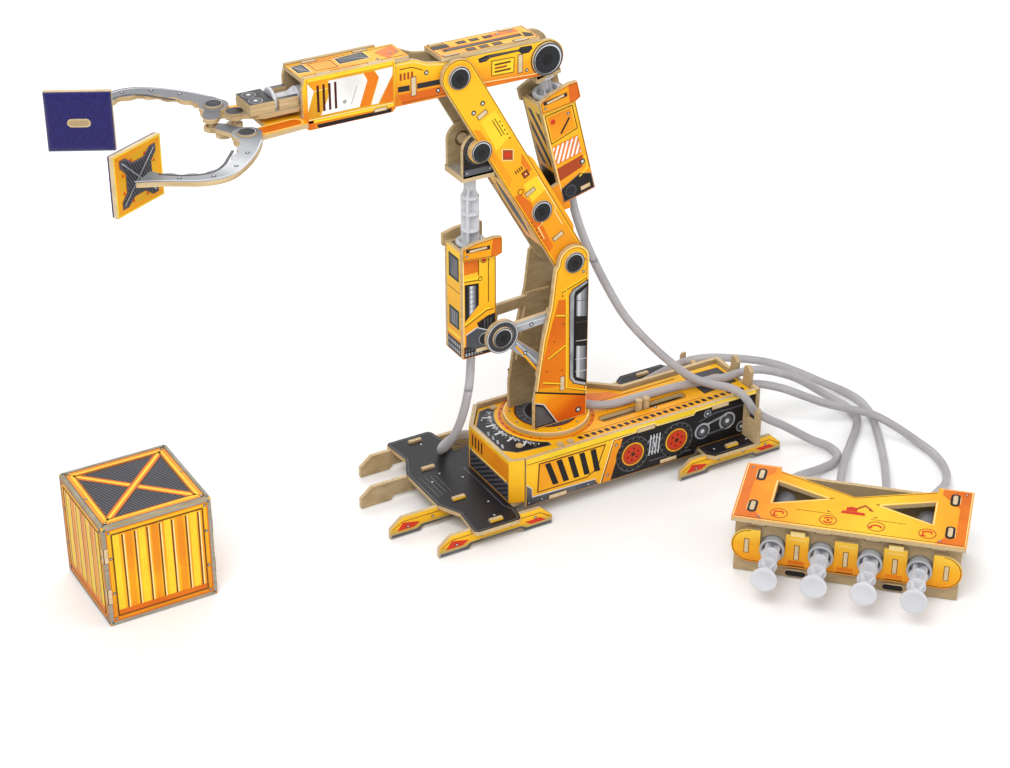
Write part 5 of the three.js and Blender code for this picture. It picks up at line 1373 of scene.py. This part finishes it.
def toothed(points, count, height):
    """The curve through the points, with evenly spaced teeth raised from it."""
    line = spline(points)
    total = [0.0]
    for a, b in zip(line, line[1:]):
        total.append(total[-1] + math.hypot(b[0] - a[0], b[1] - a[1]))
    edge, steps = [], count * 4
    for i in range(steps + 1):
        want = total[-1] * i / steps
        k = max(j for j in range(len(total)) if total[j] <= want + 1e-9)
        k = min(k, len(line) - 2)
        t = (want - total[k]) / (total[k + 1] - total[k])
        (au, av), (bu, bv) = line[k], line[k + 1]
        du, dv = (bu - au), (bv - av)
        size = math.hypot(du, dv)
        raised = height if i % 4 in (1, 2) else 0
        edge.append((au + du * t + dv / size * raised, av + dv * t - du / size * raised))
    return edge


# The claws' own grey, with a light band across the middle that is a painted highlight.
claw_grey_painted_highlight = graded_ink("ink_claw_painted_highlight", (-180, -20, 0), (-1, -0.6, 0), 80, [
    (0.0, "#6d6f74"), (0.3, "#a4a6ab"), (0.5, "#c6c8cc"), (0.7, "#8e9095"), (1.0, "#75777c")])
for _name, _side in (("near", -1), ("far", 1)):
    _turn = (lambda pts: pts) if _side < 0 else mirrored
    _c = Piece(f"claw_{_name}_board")
    _outer, _inner = spline(CLAW_OUTER), toothed(CLAW_INNER, 7, -1.5)
    _c.slab(TOP, _turn(_outer + _inner[::-1]), CLAW_Z, CLAW_Z + BOARD, claw_grey_painted_highlight, core, core)
    _c.slab(TOP, disc(CLAW_PIVOT[0], -_side * CLAW_PIVOT[1], 7.6, 48), CLAW_Z + 0.02, CLAW_Z + BOARD + 0.02,
        claw_grey_painted_highlight, core)
    _c.slab(TOP, _turn(bar(CLAW_PIVOT, LEVER_END, 4.2)), CLAW_Z + 0.04, CLAW_Z + BOARD - 0.02, slate, core)
    _end = (LEVER_END[0], -_side * LEVER_END[1])
    _c.slab(TOP, disc(*_end, 1.5, 20), 261.5 if _side < 0 else 259, CLAW_Z + 1, pale_core)
    _c.cap(TOP, CLAW_PIVOT[0], -_side * CLAW_PIVOT[1], 5.2, CLAW_Z + BOARD, 0.9)
    _Z = CLAW_Z + BOARD
    _low = spline([(u + (0.6 if u > -210 else 0), v + 1.8) for u, v in CLAW_OUTER[1:]])
    _c.lines(TOP, _turn(_low), 0.7, silver, 1, base=_Z)
    _high = spline([(-201, -36), (-206, -42.4), (-212, -49.6), (-219, -54), (-226.6, -53.6), (-235, -49.6),
        (-243, -43.4)])
    _c.lines(TOP, _turn(_high), 1.5, soot, 1, base=_Z).lines(TOP, _turn(_high), 0.6, slate, 2, base=_Z)
    for _u, _v in ((-196, -42), (-207, -53.4), (-221, -58.6), (-236, -52.6)):
        _c.screw(TOP, _u, -_side * _v, 1.1, 3, _Z)
    _c.done(f"claw_{_name}_arm", "grey_board", f"claw_{_name}")

PAD_AT, PAD_YAW, PAD_Z = (-251.1, -39.0), math.radians(27.5), 265.5
for _name, _side in (("near", -1), ("far", 1)):
    _yaw = -_side * PAD_YAW
    _u = Vector((math.cos(_yaw), math.sin(_yaw), 0))
    _in = Vector((-math.sin(_yaw), math.cos(_yaw), 0)) * -_side  # towards the crate
    _origin = (PAD_AT[0], -_side * PAD_AT[1], PAD_Z)
    _back = Plane(_origin, _u, (0, 0, 1), -_in)
    _pad = Piece(f"pad_{_name}_board")
    _pad.slab(_back, rect(-17, -16, 17, 16), -BOARD, 0, ochre, pale_core, core, bevel=0.1)
    _pad.lines(_back, rect(-16.4, -15.4, 16.4, 15.4), 0.6, lemon, 1, closed=True)
    _pad.lines(_back, rect(-14.8, -13.8, 14.8, 13.8), 1.4, amber, 1, closed=True)
    _star = [(-12.5, 12.2), (-9, 12.2), (-4, 8.4), (4, 8.4), (9, 12.2), (12.5, 12.2), (12.5, 9), (8.8, 5),
        (8.8, -5), (12.5, -9),
             (12.5, -12.2), (9, -12.2), (4, -8.4), (-4, -8.4), (-9, -12.2), (-12.5, -12.2), (-12.5, -9),
             (-8.8, -5), (-8.8, 5),
             (-12.5, 9)]
    _pad.decal(_back, inset(_star, -0.6), rust, 2).decal(_back, _star, mesh_print, 3)
    _pad.lines(_back, _star, 0.7, slate, 4, closed=True)
    for _s in (-1, 1):
        _pad.lines(_back, [(-11.4, -11 * _s), (11.4, 11 * _s)], 1.5, soot, 5).lines(
            _back, [(-11.4, -11 * _s), (11.4, 11 * _s)], 0.8, steel, 6)
        for _x, _y in ((-5, 10.6), (5, 10.6), (-11.2, 4.6), (11.2, 4.6)):
            _pad.decal(_back, [(_x - 0.9, _s * _y - 0.8), (_x + 0.9, _s * _y - 0.8), (_x, _s * _y + 0.9)],
                scarlet, 3)
    _pad.done(f"claw_{_name}_arm", "printed_board", f"pad_{_name}")
    _soft = Piece(f"pad_{_name}_foam")
    _front = Plane(_origin, _u, (0, 0, 1), _in)
    # Foam with a softly rounded front edge and a dimpled face.
    _rows, _cols = 18, 18
    for _i in range(_rows + 1):
        for _j in range(_cols + 1):
            _a, _b = -1 + 2 * _j / _cols, -1 + 2 * _i / _rows
            _round = (max(0, 1 - abs(_a) ** 14) * max(0, 1 - abs(_b) ** 14)) ** 0.5
            _wave = 0.10 * math.sin(_a * 21) * math.sin(_b * 19)
            _soft.points.append(_front(_a * 16.8, _b * 15.8, 3.6 + 1.3 * _round + _wave))
    _order = -1 if _front.mirrored else 1
    _n = _cols + 1
    for _i in range(_rows):
        for _j in range(_cols):
            _soft.face((_i * _n + _j, _i * _n + _j + 1, (_i + 1) * _n + _j + 1,
                (_i + 1) * _n + _j)[::_order], foam, True)
    _rim = list(range(_n)) + [_i * _n + _cols for _i in range(1, _rows + 1)] + [
        _rows * _n + _j for _j in range(_cols - 1, -1, -1)] + [_i * _n for _i in range(_rows - 1, 0, -1)]
    _start = len(_soft.points)
    for _k in _rim:
        _i, _j = divmod(_k, _n)
        _soft.points.append(_front((-1 + 2 * _j / _cols) * 16.8, (-1 + 2 * _i / _rows) * 15.8, 2.45))
    for _k in range(len(_rim)):
        _next = (_k + 1) % len(_rim)
        _soft.face((_start + _k, _start + _next, _rim[_next], _rim[_k])[::_order], foam)
    _soft.face(tuple(_start + _k for _k in range(len(_rim)))[::-_order], foam)
    _soft.slab(_front, bar((-3.6, 0), (3.6, 0), 2.3), 4.7, 5.0, core, bevel=0.1)
    _soft.decal(_front, bar((-3.6, 0), (3.6, 0), 1.5), bare, 1, 5.0)
    _soft_object = _soft.done(f"claw_{_name}_arm", "foam")


# ---------------------------------------------------------------- print on the base
base_print = Piece("base_print_near")
_p = side_face(-1, WALL_OUT)
base_print.decal(_p, [(-37.2, 41), (120.6, 41), (120.6, 37.4), (-37.2, 37.4)], lemon, 1)
base_print.lines(_p, [(-37.2, 37.5), (120.6, 37.5)], 0.4, brown, 2)
base_print.decal(_p, [(12.2, 9.9), (20.5, 36.4), (36, 37.1), (76.1, 36.9), (77.8, 38.6), (120.6, 38.6),
    (120.6, 13.7), (79.7, 13.7),
                      (77.2, 9.9)], black, 2)
base_print.lines(_p, [(12.2, 9.9), (20.5, 36.6), (36, 37.3), (36.9, 39.4), (48.9, 39.4), (50.8, 37.4),
    (76.1, 37.1),
                      (77.8, 39.4), (120, 39.4)], 0.6, pale, 3)
for _x, _z in ((34.2, 23.1), (64.5, 23.5)):
    for _r, _ink, _layer in ((11.5, slate, 3), (10.9, black, 4), (9.6, soot, 5), (7.6, yellow, 6),
        (6.8, rust, 7), (5.4, scarlet, 8),
                             (2.2, rust, 9), (1.2, plum, 10)):
        base_print.decal(_p, disc(_x, _z, _r, 48), _ink, _layer)
    for _k in range(16):
        _a = math.radians(22.5 * _k)
        base_print.decal(_p, tick((_x, _z), _a, (9.8, 11.2), 0.9), slate, 6)
    for _k in range(6):
        _a = math.radians(60 * _k + 20)
        base_print.decal(_p, disc(_x + math.cos(_a) * 3.8, _z + math.sin(_a) * 3.8, 0.7, 12), plum, 9)
for _x, _z, _r in ((48.9, 25.1, 5.4), (82.9, 23.9, 5.4), (100.5, 26, 5.8), (86.1, 35.0, 2.6),
    (111, 19, 3.6)):
    base_print.decal(_p, disc(_x, _z, _r, 32), steel, 3).decal(_p, disc(_x, _z, _r * 0.78, 28), soot, 4)
    base_print.decal(_p, disc(_x, _z, _r * 0.6, 24), slate, 5).decal(_p, disc(_x, _z, _r * 0.25, 12),
        silver, 6)
for _k in range(4):
    base_print.lines(_p, [(45.4 + 2.1 * _k, 18.6), (46.6 + 2.1 * _k, 32)], 0.7, silver, 6)
base_print.lines(_p, [(86, 27.6), (100, 30.6)], 1.4, steel, 5).lines(_p, [(86, 20.6), (100.6, 21.4)], 1.2,
    slate, 5)
base_print.lines(_p, [(80, 31), (92, 34), (104, 33.6), (118, 34)], 0.8, slate, 4)
base_print.lines(_p, [(46, 14.6), (58, 14.6), (75, 13.4)], 0.9, slate, 4)
for _u0, _v0, _u1, _v1 in ((36.9, 36.4, 49, 38.6), (89.3, 36.6, 100.9, 38.8), (53.7, 10.6, 65, 12.8),
    (-22.3, 10.2, -10.7, 12.4)):
    base_print.tab(_p, _u0, _v0, _u1, _v1)
_hz = [(-29.3, 36.2), (15.6, 35.6), (10.1, 20.4), (3.1, 16.7), (-30.3, 16.8)]
base_print.decal(_p, _hz, brown, 2).decal(_p, inset(_hz, 0.8), yellow, 3)
for _k in range(5):
    _x = -25.4 + 7.6 * _k
    base_print.decal(_p, [(_x, 34.6), (_x + 3.6, 34.6), (_x + 9.4 - 0.6 * _k, 19.0),
        (_x + 5.6 - 0.6 * _k, 19.0)], black, 4)
base_print.decal(_p, [(-37.2, 23.5), (-33.8, 20.2), (-33.7, 14.6), (8.4, 13.6), (11, 9.9), (-37.2, 9.9)],
    slate, 2)
base_print.lines(_p, [(-37.2, 24), (-33.8, 20.6), (-33.6, 15), (9, 13.9)], 0.5, silver, 3)
for _x in (-35.6, -27, 4):
    base_print.screw(_p, _x, 11.8, 0.9)
base_print.decal(_p, [(19.2, 10), (13.4, 10), (21.2, 36), (27, 36)], amber, 3)
base_print.screw(_p, 17.2, 14, 1.0, 4).screw(_p, 22.6, 32.6, 1.0, 4)
base_print.done("base", "printed_board")

top_print = Piece("base_print_top")
_Z = DECK_TOP
for _k in range(26):
    _x = 3 + 4.5 * _k
    top_print.decal(TOP, [(_x, -33.6), (_x + 2.6, -33.6), (_x + 1.9, -30.6), (_x - 0.7, -30.6)], black, 2,
        _Z)
top_print.lines(TOP, [(-2, -35.4), (119, -35.4)], 0.4, brown, 1, base=_Z)
top_print.lines(TOP, [(0, -28.8), (90, -28.8)], 0.4, brown, 1, base=_Z)
_grille = [(93.6, -2.6), (118.4, -3.6), (119.2, -23.4), (94, -26.4)]
top_print.decal(TOP, _grille, brown, 1, _Z, holes=[bar((99, -13.5), (112, -13.5), 2.6)])
top_print.decal(TOP, inset(_grille, 0.7), mesh_print, 2, _Z, holes=[bar((99, -13.5), (112, -13.5), 2.6)])
top_print.lines(TOP, bar((99, -13.5), (112, -13.5), 3.4), 0.8, pale_core, 3, closed=True, base=_Z)
top_print.decal(TOP, disc(0, 0, 28.4, 72), orange, 1, _Z, holes=[disc(0, 0, 26.2, 72)])
for _k in range(30):
    _a = math.radians(12 * _k + 4)
    if abs(math.sin(_a)) < 0.86:
        top_print.decal(TOP, tick((0, 0), _a, (26.6, 28), 0.8), brown, 2, _Z)
_vent = [(-26, 23.4), (-32.4, 22.4), (-42.4, 8.4), (-42.4, -22), (-36, -28.4), (-14.6, -31)] + arc(0, 0,
    30.6, 242, 140, 24)
top_print.decal(TOP, _vent, slate, 1, _Z).decal(TOP, inset(_vent, 0.8), black, 2, _Z)
for _k in range(17):
    _a = math.radians(146 + 5.2 * _k)
    _r0, _r1 = 31.8, 35.2 + 2.6 * ((_k * 7) % 3) / 2
    _ink = (steel, silver, slate)[(_k * 5) % 3]
    top_print.decal(TOP, tick((0, 0), _a, (_r0, _r1), 1.3), _ink, 3, _Z)
    top_print.decal(TOP, tick((0, 0), _a + 0.05, (32.6, 34), 0.6), white, 4, _Z)
for _k in range(4):
    top_print.lines(TOP, [(-40.8, -20.4 + 5.4 * _k), (-39.2, -16.4 + 5.4 * _k)], 1.2, steel, 3, base=_Z)
for _x, _y in ((-10.2, -33), (-3.4, -33.1), (-23.2, 22), (-31.4, -22.8)):
    top_print.slab(TOP, disc(_x, _y, 2.2, 24), _Z - 0.1, _Z + 1.0, core, bevel=0.3)
for _x, _y in ((46, -8), (70, -8), (88, -8), (-36, 13), (60, -24.8)):
    top_print.screw(TOP, _x, _y, 1.1, 3, _Z)
top_print.decal(TOP, [(33, -2), (50, -2), (46, 3.6), (30, 10), (26, 4)], orange, 1, _Z)
top_print.lines(TOP, [(30, -2.6), (88, -2.6)], 0.5, brown, 2, base=_Z).lines(TOP, [(52, -0.6), (116, -0.6)],
    0.35, pale, 2, base=_Z)
top_print.lines(TOP, bar((27, -20.8), (80, -20.8), 3.2), 0.5, brown, 2, closed=True, base=_Z)
top_print.done("base", "printed_board")

front_print = Piece("base_print_front")
_p = front_face(FRONT_X)
front_print.decal(_p, rect(-37.4, 27.4, 7.6, 38.8), amber, 1)
for _k in (6.2, 7, 7.8, 8.6):
    front_print.decal(_p, [(-34.6 + 4.4 * _k, 29.4), (-33.2 + 4.4 * _k, 29.4), (-33.2 + 4.4 * _k, 36.8),
        (-34.6 + 4.4 * _k, 36.8)],
                      black, 2)
front_print.decal(_p, rect(-37.4, 14, 7.6, 25.4), slate, 1).decal(_p, rect(-36.2, 15, 6.4, 24.4),
    mesh_print, 2)
front_print.lines(_p, [(-37.4, 26.4), (7.6, 26.4)], 0.5, pale, 2)
for _y in (-36, 6.2):
    front_print.screw(_p, _y, 26.4, 0.9, 3)
front_print.done("base", "printed_board")

plate_print = Piece("base_print_plate")
_Z = PLATE_TOP
_edge = [(-81.6, -18.4), (-74.8, -32.8), (-76.6, -52.2), (-75.4, -53.6), (-50.6, -53.6), (-49.2, -52.2),
    (-47.9, -43.6),
         (-50.4, -38), (-50.4, 9), (-36.6, 27.4), (-47.9, 43.6), (-49.2, 52.2), (-50.6, 53.6),
         (-75.4, 53.6), (-76.6, 52.2),
         (-74.8, 32.8), (-81.6, 18.4)]
plate_print.lines(TOP, _edge[:9], 0.7, slate, 1, base=_Z).lines(TOP, _edge[9:] + [_edge[0]], 0.7, slate, 1,
    base=_Z)
for _x, _y in ((-56, -30), (-56, 0), (-66, 10), (-60, 44), (-60, -44), (-74, 4)):
    plate_print.screw(TOP, _x, _y, 1.1, 2, _Z)
for _k in range(4):
    plate_print.lines(TOP, [(-78 + 3 * _k, -12 + _k), (-78 + 3 * _k, 12 - _k)], 0.45, slate, 1, base=_Z)
plate_print.lines(TOP, [(82, -46), (84.6, -52.4), (115.6, -52.4), (116.6, -50), (116.6, -44.6)], 0.6, slate,
    1, base=_Z)
plate_print.lines(TOP, [(82, 8), (82, 48.6), (86.6, 52.4), (115.6, 52.4), (116.6, 50), (116.6, 8)], 0.6,
    slate, 1, base=_Z)
for _x, _y in ((88, -47), (111, -47), (88, 30), (111, 30), (100, 16)):
    plate_print.screw(TOP, _x, _y, 1.1, 2, _Z)
plate_print.done("base", "black_board")

leg_print = Piece("base_print_legs")
for _y, _x0, _x1 in ((-48.7, -98.6, -25.4), (-18.4, -113.5, -44), (-48.7, 62.6, 134.4)):
    _p = side_face(-1, -_y + 1.25)
    leg_print.decal(_p, [(_x0 + 0.8, 0.6), (_x0 + 18, 0.6), (_x0 + 21, 2.8), (_x1 - 21, 2.8),
        (_x1 - 18, 0.6), (_x1 - 0.8, 0.6),
                         (_x1 - 0.8, 2.2), (_x1 - 17, 2.2), (_x1 - 20, 4.2), (_x0 + 20, 4.2),
                         (_x0 + 17, 2.2), (_x0 + 0.8, 2.2)],
                    slate, 1)
    leg_print.decal(_p, [(_x0 + 4, 4), (_x0 + 15, 4), (_x0 + 19, 6.4), (_x0 + 8, 9)], scarlet, 1)
    leg_print.decal(_p, [(_x1 - 4, 3.6), (_x1 - 14, 3.6), (_x1 - 18, 6.2), (_x1 - 8, 6.4)], scarlet, 1)
    leg_print.lines(_p, [(_x0 + 1.2, 5.8), (_x0 + 7.9, 9.6), (_x1 - 8, 9.4), (_x1 - 1.2, 4.8)], 0.35, brown,
        2)
    for _x in (_x0 + 11, _x0 + 27, _x1 - 27, _x1 - 11):
        leg_print.screw(_p, _x, 7.2 if abs(_x - _x0 - 11) > 1 else 5.6, 0.9)
leg_print.done("base", "printed_board")

# ---------------------------------------------------------------- console print
desk_x = Vector(desk_point(1, 0, 0)) - Vector(desk_point(0, 0, 0))
DESK_TOP = Plane(desk_point(0, 0, 0), desk_x, _along)
console_print = Piece("console_print_top")
_Z = 37.2
for _s in (-1, 1):
    console_print.decal(DESK_TOP, [(_s * 62.9, -28.1), (_s * 62.9, 28.1), (_s * 46.6, 28.1),
        (_s * 46.6, 22), (_s * 57, 10),
                                   (_s * 57, -12), (_s * 46, -28.1)], orange, 1, _Z)
    console_print.lines(DESK_TOP, [(_s * 44.3, 14.4), (_s * 44.3, -10)], 0.6, pale, 2, base=_Z)
    console_print.lines(DESK_TOP, [(_s * 43, -9.6), (_s * 14.2, 1.6)], 0.6, pale, 2, base=_Z)
    console_print.lines(DESK_TOP, [(_s * 43, 14.0), (_s * 14.2, 3.2)], 0.6, pale, 2, base=_Z)
    for _v in (18, -15):
        console_print.decal(DESK_TOP, bar((_s * 53.8, _v - 3.6), (_s * 53.8, _v + 3.6), 2.6), black, 3, _Z)
        console_print.slab(DESK_TOP, bar((_s * 53.8, _v - 3.2), (_s * 53.8, _v + 3.2), 1.3), _Z, _Z + 0.5,
            pale_core, bevel=0.15)
        console_print.lines(DESK_TOP, [(_s * 56.6, _v - 4), (_s * 56.6, _v + 4)], 0.3, pale, 3, base=_Z)
console_print.lines(DESK_TOP, [(-62.6, -27.8), (62.6, -27.8)], 0.5, pale, 2, base=_Z)
console_print.lines(DESK_TOP, [(-62.6, -26.6), (62.6, -26.6)], 0.3, brown, 2, base=_Z)
console_print.lines(DESK_TOP, [(-62.6, -27), (-62.6, 27.8), (-45, 27.8)], 0.4, pale, 2, base=_Z)
console_print.lines(DESK_TOP, [(62.6, -27), (62.6, 27.8), (45, 27.8)], 0.4, pale, 2, base=_Z)
console_print.lines(DESK_TOP, [(-43.4, 23), (0, 6.6), (43.4, 23)], 0.4, brown, 2, base=_Z)
for _k, _x in enumerate((-38.7, -11.8, 14.3, 41.9)):
    console_print.lines(DESK_TOP, disc(_x, -19, 4.6, 32), 0.45, rust, 3, closed=True, base=_Z)
    if _k % 3 == 0:
        console_print.lines(DESK_TOP, [(_x - 2.4, -21.4), (_x - 2.4, -17.4), (_x + 1.8, -16.8),
            (_x + 2.4, -19)], 0.9, scarlet, 4,
                            base=_Z)
        console_print.lines(DESK_TOP, [(_x - 3.4, -21.6), (_x - 0.6, -21.6)], 0.8, scarlet, 4, base=_Z)
    elif _k == 1:
        console_print.lines(DESK_TOP, arc(_x, -19, 2.6, 30, 150, 10), 0.9, scarlet, 4, base=_Z)
        console_print.lines(DESK_TOP, arc(_x, -19, 2.6, 210, 330, 10), 0.9, scarlet, 4, base=_Z)
        console_print.decal(DESK_TOP, disc(_x, -19, 0.9, 14), scarlet, 4, _Z)
    else:
        console_print.lines(DESK_TOP, arc(_x, -21, 3.2, 20, 160, 10), 1.0, scarlet, 4, base=_Z)
        console_print.decal(DESK_TOP, [(_x - 4, -19.4), (_x - 1.8, -20.6), (_x - 3.4, -21.6)], scarlet, 4,
            _Z)
for _u, _v in ((-13, -10.6), (13.4, -10.6), (-13, 3.4), (13.4, 3.4)):
    _mx, _my = (1.6 if _u < 0 else -1.6), (1.4 if _v < 0 else -1.4)
    console_print.lines(DESK_TOP, [(_u, _v + _my), (_u, _v), (_u + _mx, _v)], 0.4, brown, 3, base=_Z)
console_print.decal(DESK_TOP, [(-6, -10), (7.4, -10), (6.6, -7.4), (-5.2, -7.4)], scarlet, 3, _Z)
console_print.decal(DESK_TOP, [(-3.4, -7), (2.6, -7), (2.6, -3.6), (-0.6, -2.6), (-3.4, -3.8)], scarlet, 3,
    _Z)
console_print.lines(DESK_TOP, [(1.8, -4.4), (6.4, 0.2), (10, -3.4)], 1.1, rust, 4, base=_Z)
console_print.lines(DESK_TOP, [(8.8, -4.2), (11.2, -4.2)], 0.8, rust, 4, base=_Z)
console_print.lines(DESK_TOP, [(-30, -12.6), (-9.6, -12.6)], 0.3, brown, 2, base=_Z).lines(
    DESK_TOP, [(30, -12.6), (10.6, -12.6)], 0.3, brown, 2, base=_Z)
for _x in (-59.6, 59.6, -49, 49):
    console_print.screw(DESK_TOP, _x, 24.6 if abs(_x) > 50 else -24.6, 0.9, 3, _Z)
console_print.done("base", "printed_board")

holder_print = Piece("console_print_holder")
DESK_FRONT = Plane(desk_point(0, -26.5, 0), desk_x, (0, 0, 1), -_along)
for _s in (-1, 1):
    holder_print.lines(DESK_FRONT, arc(_s * 52.5, AXIS_Z, 9.7, 90 if _s < 0 else -90,
        270 if _s < 0 else 90), 0.4, brown, 1)
    holder_print.tab(DESK_FRONT, _s * 26.7 - 1.1, 13.6, _s * 26.7 + 1.1, 22.6)
    holder_print.tab(DESK_FRONT, _s * 54.4 - 1.1, 14, _s * 54.4 + 1.1, 22.6)
    holder_print.decal(DESK_FRONT, rect(_s * 26.7 - 3.8, 28.4, _s * 26.7 + 3.8, 31.3), pale, 1)
holder_print.tab(DESK_FRONT, -1.1, 13.6, 1.1, 22.6)
for _x in (-26.7, 0, 26.7):
    holder_print.lines(DESK_FRONT, [(_x - 4.6, 9.4), (_x + 4.6, 9.4)], 0.5, brown, 1)
    holder_print.lines(DESK_FRONT, [(_x - 4.4, 26.4), (_x + 4.4, 26.4)], 0.4, pale, 1)
    holder_print.decal(DESK_FRONT, rect(_x - 4.4, 10.4, _x + 4.4, 12.6), orange, 1)
holder_print.lines(DESK_FRONT, [(-52, 8.9), (52, 8.9)], 0.4, brown, 1)
DESK_PLATE = Plane(desk_point(0, -23.7, 0), desk_x, (0, 0, 1), -_along)
for _x in (-26.7, 26.7):
    holder_print.slab(DESK_PLATE, bar((_x - 4, 3.6), (_x + 4, 3.6), 2.0), -0.2, 1.9, black, core, bevel=0.3)
for _x in (-49, -13.35, 13.35, 49):
    holder_print.tab(DESK_PLATE, _x - 4, 30.6, _x + 4, 33.4)
holder_print.done("base", "printed_board")

# ---------------------------------------------------------------- crate print
crate_print = Piece("crate_print")
_cx, _cy = CRATE_AT
_faces = [
    Plane((_cx, _cy, 0), (1, 0, 0), (0, 0, 1), (0, -1, 0)),
    Plane((_cx, _cy, 0), (0, 1, 0), (0, 0, 1), (-1, 0, 0)),
    Plane((_cx, _cy + CRATE, 0), (1, 0, 0), (0, 0, 1), (0, 1, 0)),
    Plane((_cx + CRATE, _cy, 0), (0, 1, 0), (0, 0, 1), (1, 0, 0)),
]
for _p in _faces:
    for _k in range(14):
        _u = 5.6 + 3.64 * _k
        _ink = (lemon, yellow, amber, orange)[(0, 1, 2, 1)[_k % 4]]
        crate_print.decal(_p, rect(_u, 5.6, _u + 3.64, 56.4), _ink, 1)
    for _u in (12, 19, 26, 33, 40, 48, 55):
        crate_print.lines(_p, [(_u - 0.9, 6.4), (_u - 0.9, 55.4)], 0.8, brown, 2).lines(_p,
            [(_u, 6.4), (_u, 55.4)], 0.7, pale, 3)
    crate_print.decal(_p, rect(5.6, 5.6, 56.4, 8.6), orange, 4)
    crate_print.lines(_p, rect(5.2, 5.2, 56.8, 56.8), 0.7, brown, 5, closed=True)
    crate_print.lines(_p, rect(1.1, 1.1, 60.9, 60.9), 1.9, grey_core, 2, closed=True)
    crate_print.lines(_p, rect(2.4, 2.4, 59.6, 59.6), 0.5, orange, 4, closed=True)
    for _u in (3.8, 58.2):
        for _v in (3.8, 20, 42, 58.2):
            crate_print.screw(_p, _u, _v, 0.8, 5)
    for _v in (14, 40):
        crate_print.tab(_p, 0.3, _v, 2.4, _v + 9)
_p = Plane((_cx, _cy, CRATE), (1, 0, 0), (0, 1, 0))
crate_print.decal(_p, rect(7, 7, 55, 55), mesh_print, 1)
for _s in (0, 1):
    _line = [(6.4, 6.4), (55.6, 55.6)] if _s else [(6.4, 55.6), (55.6, 6.4)]
    crate_print.lines(_p, _line, 5.0, brown, 2 + 3 * _s).lines(_p, _line, 4.2, orange, 3 + 3 * _s)
    crate_print.lines(_p, _line, 1.6, lemon, 4 + 3 * _s)
crate_print.lines(_p, rect(4.4, 4.4, 57.6, 57.6), 5.4, amber, 8, closed=True)
crate_print.lines(_p, rect(6.7, 6.7, 55.3, 55.3), 0.6, brown, 9, closed=True)
crate_print.lines(_p, rect(5.0, 5.0, 57, 57), 1.1, lemon, 9, closed=True)
crate_print.lines(_p, rect(1.1, 1.1, 60.9, 60.9), 1.9, grey_core, 9, closed=True)
crate_print.lines(_p, rect(2.2, 2.2, 59.8, 59.8), 0.4, brown, 10, closed=True)
for _u in (3.6, 58.4):
    for _v in (3.6, 31, 58.4):
        crate_print.screw(_p, _u, _v, 0.8, 10)
crate_print.done("load_crate", "printed_board")


# ---------------------------------------------------------------- floor
floor = Piece("floor")
floor.points = [Vector((x, y, -0.0005)) for x, y in ((-6, -6), (6, -6), (6, 6), (-6, 6))]
floor.face((0, 1, 2, 3), flat_ink("floor_white", "#f4f4f4", 0.8, 0.01))
floor_mesh = bpy.data.meshes.new("floor")
floor_mesh.from_pydata(floor.points, [], floor.faces)
floor_mesh.materials.append(floor.materials[0])
floor_object = bpy.data.objects.new("floor", floor_mesh)
bpy.context.scene.collection.objects.link(floor_object)
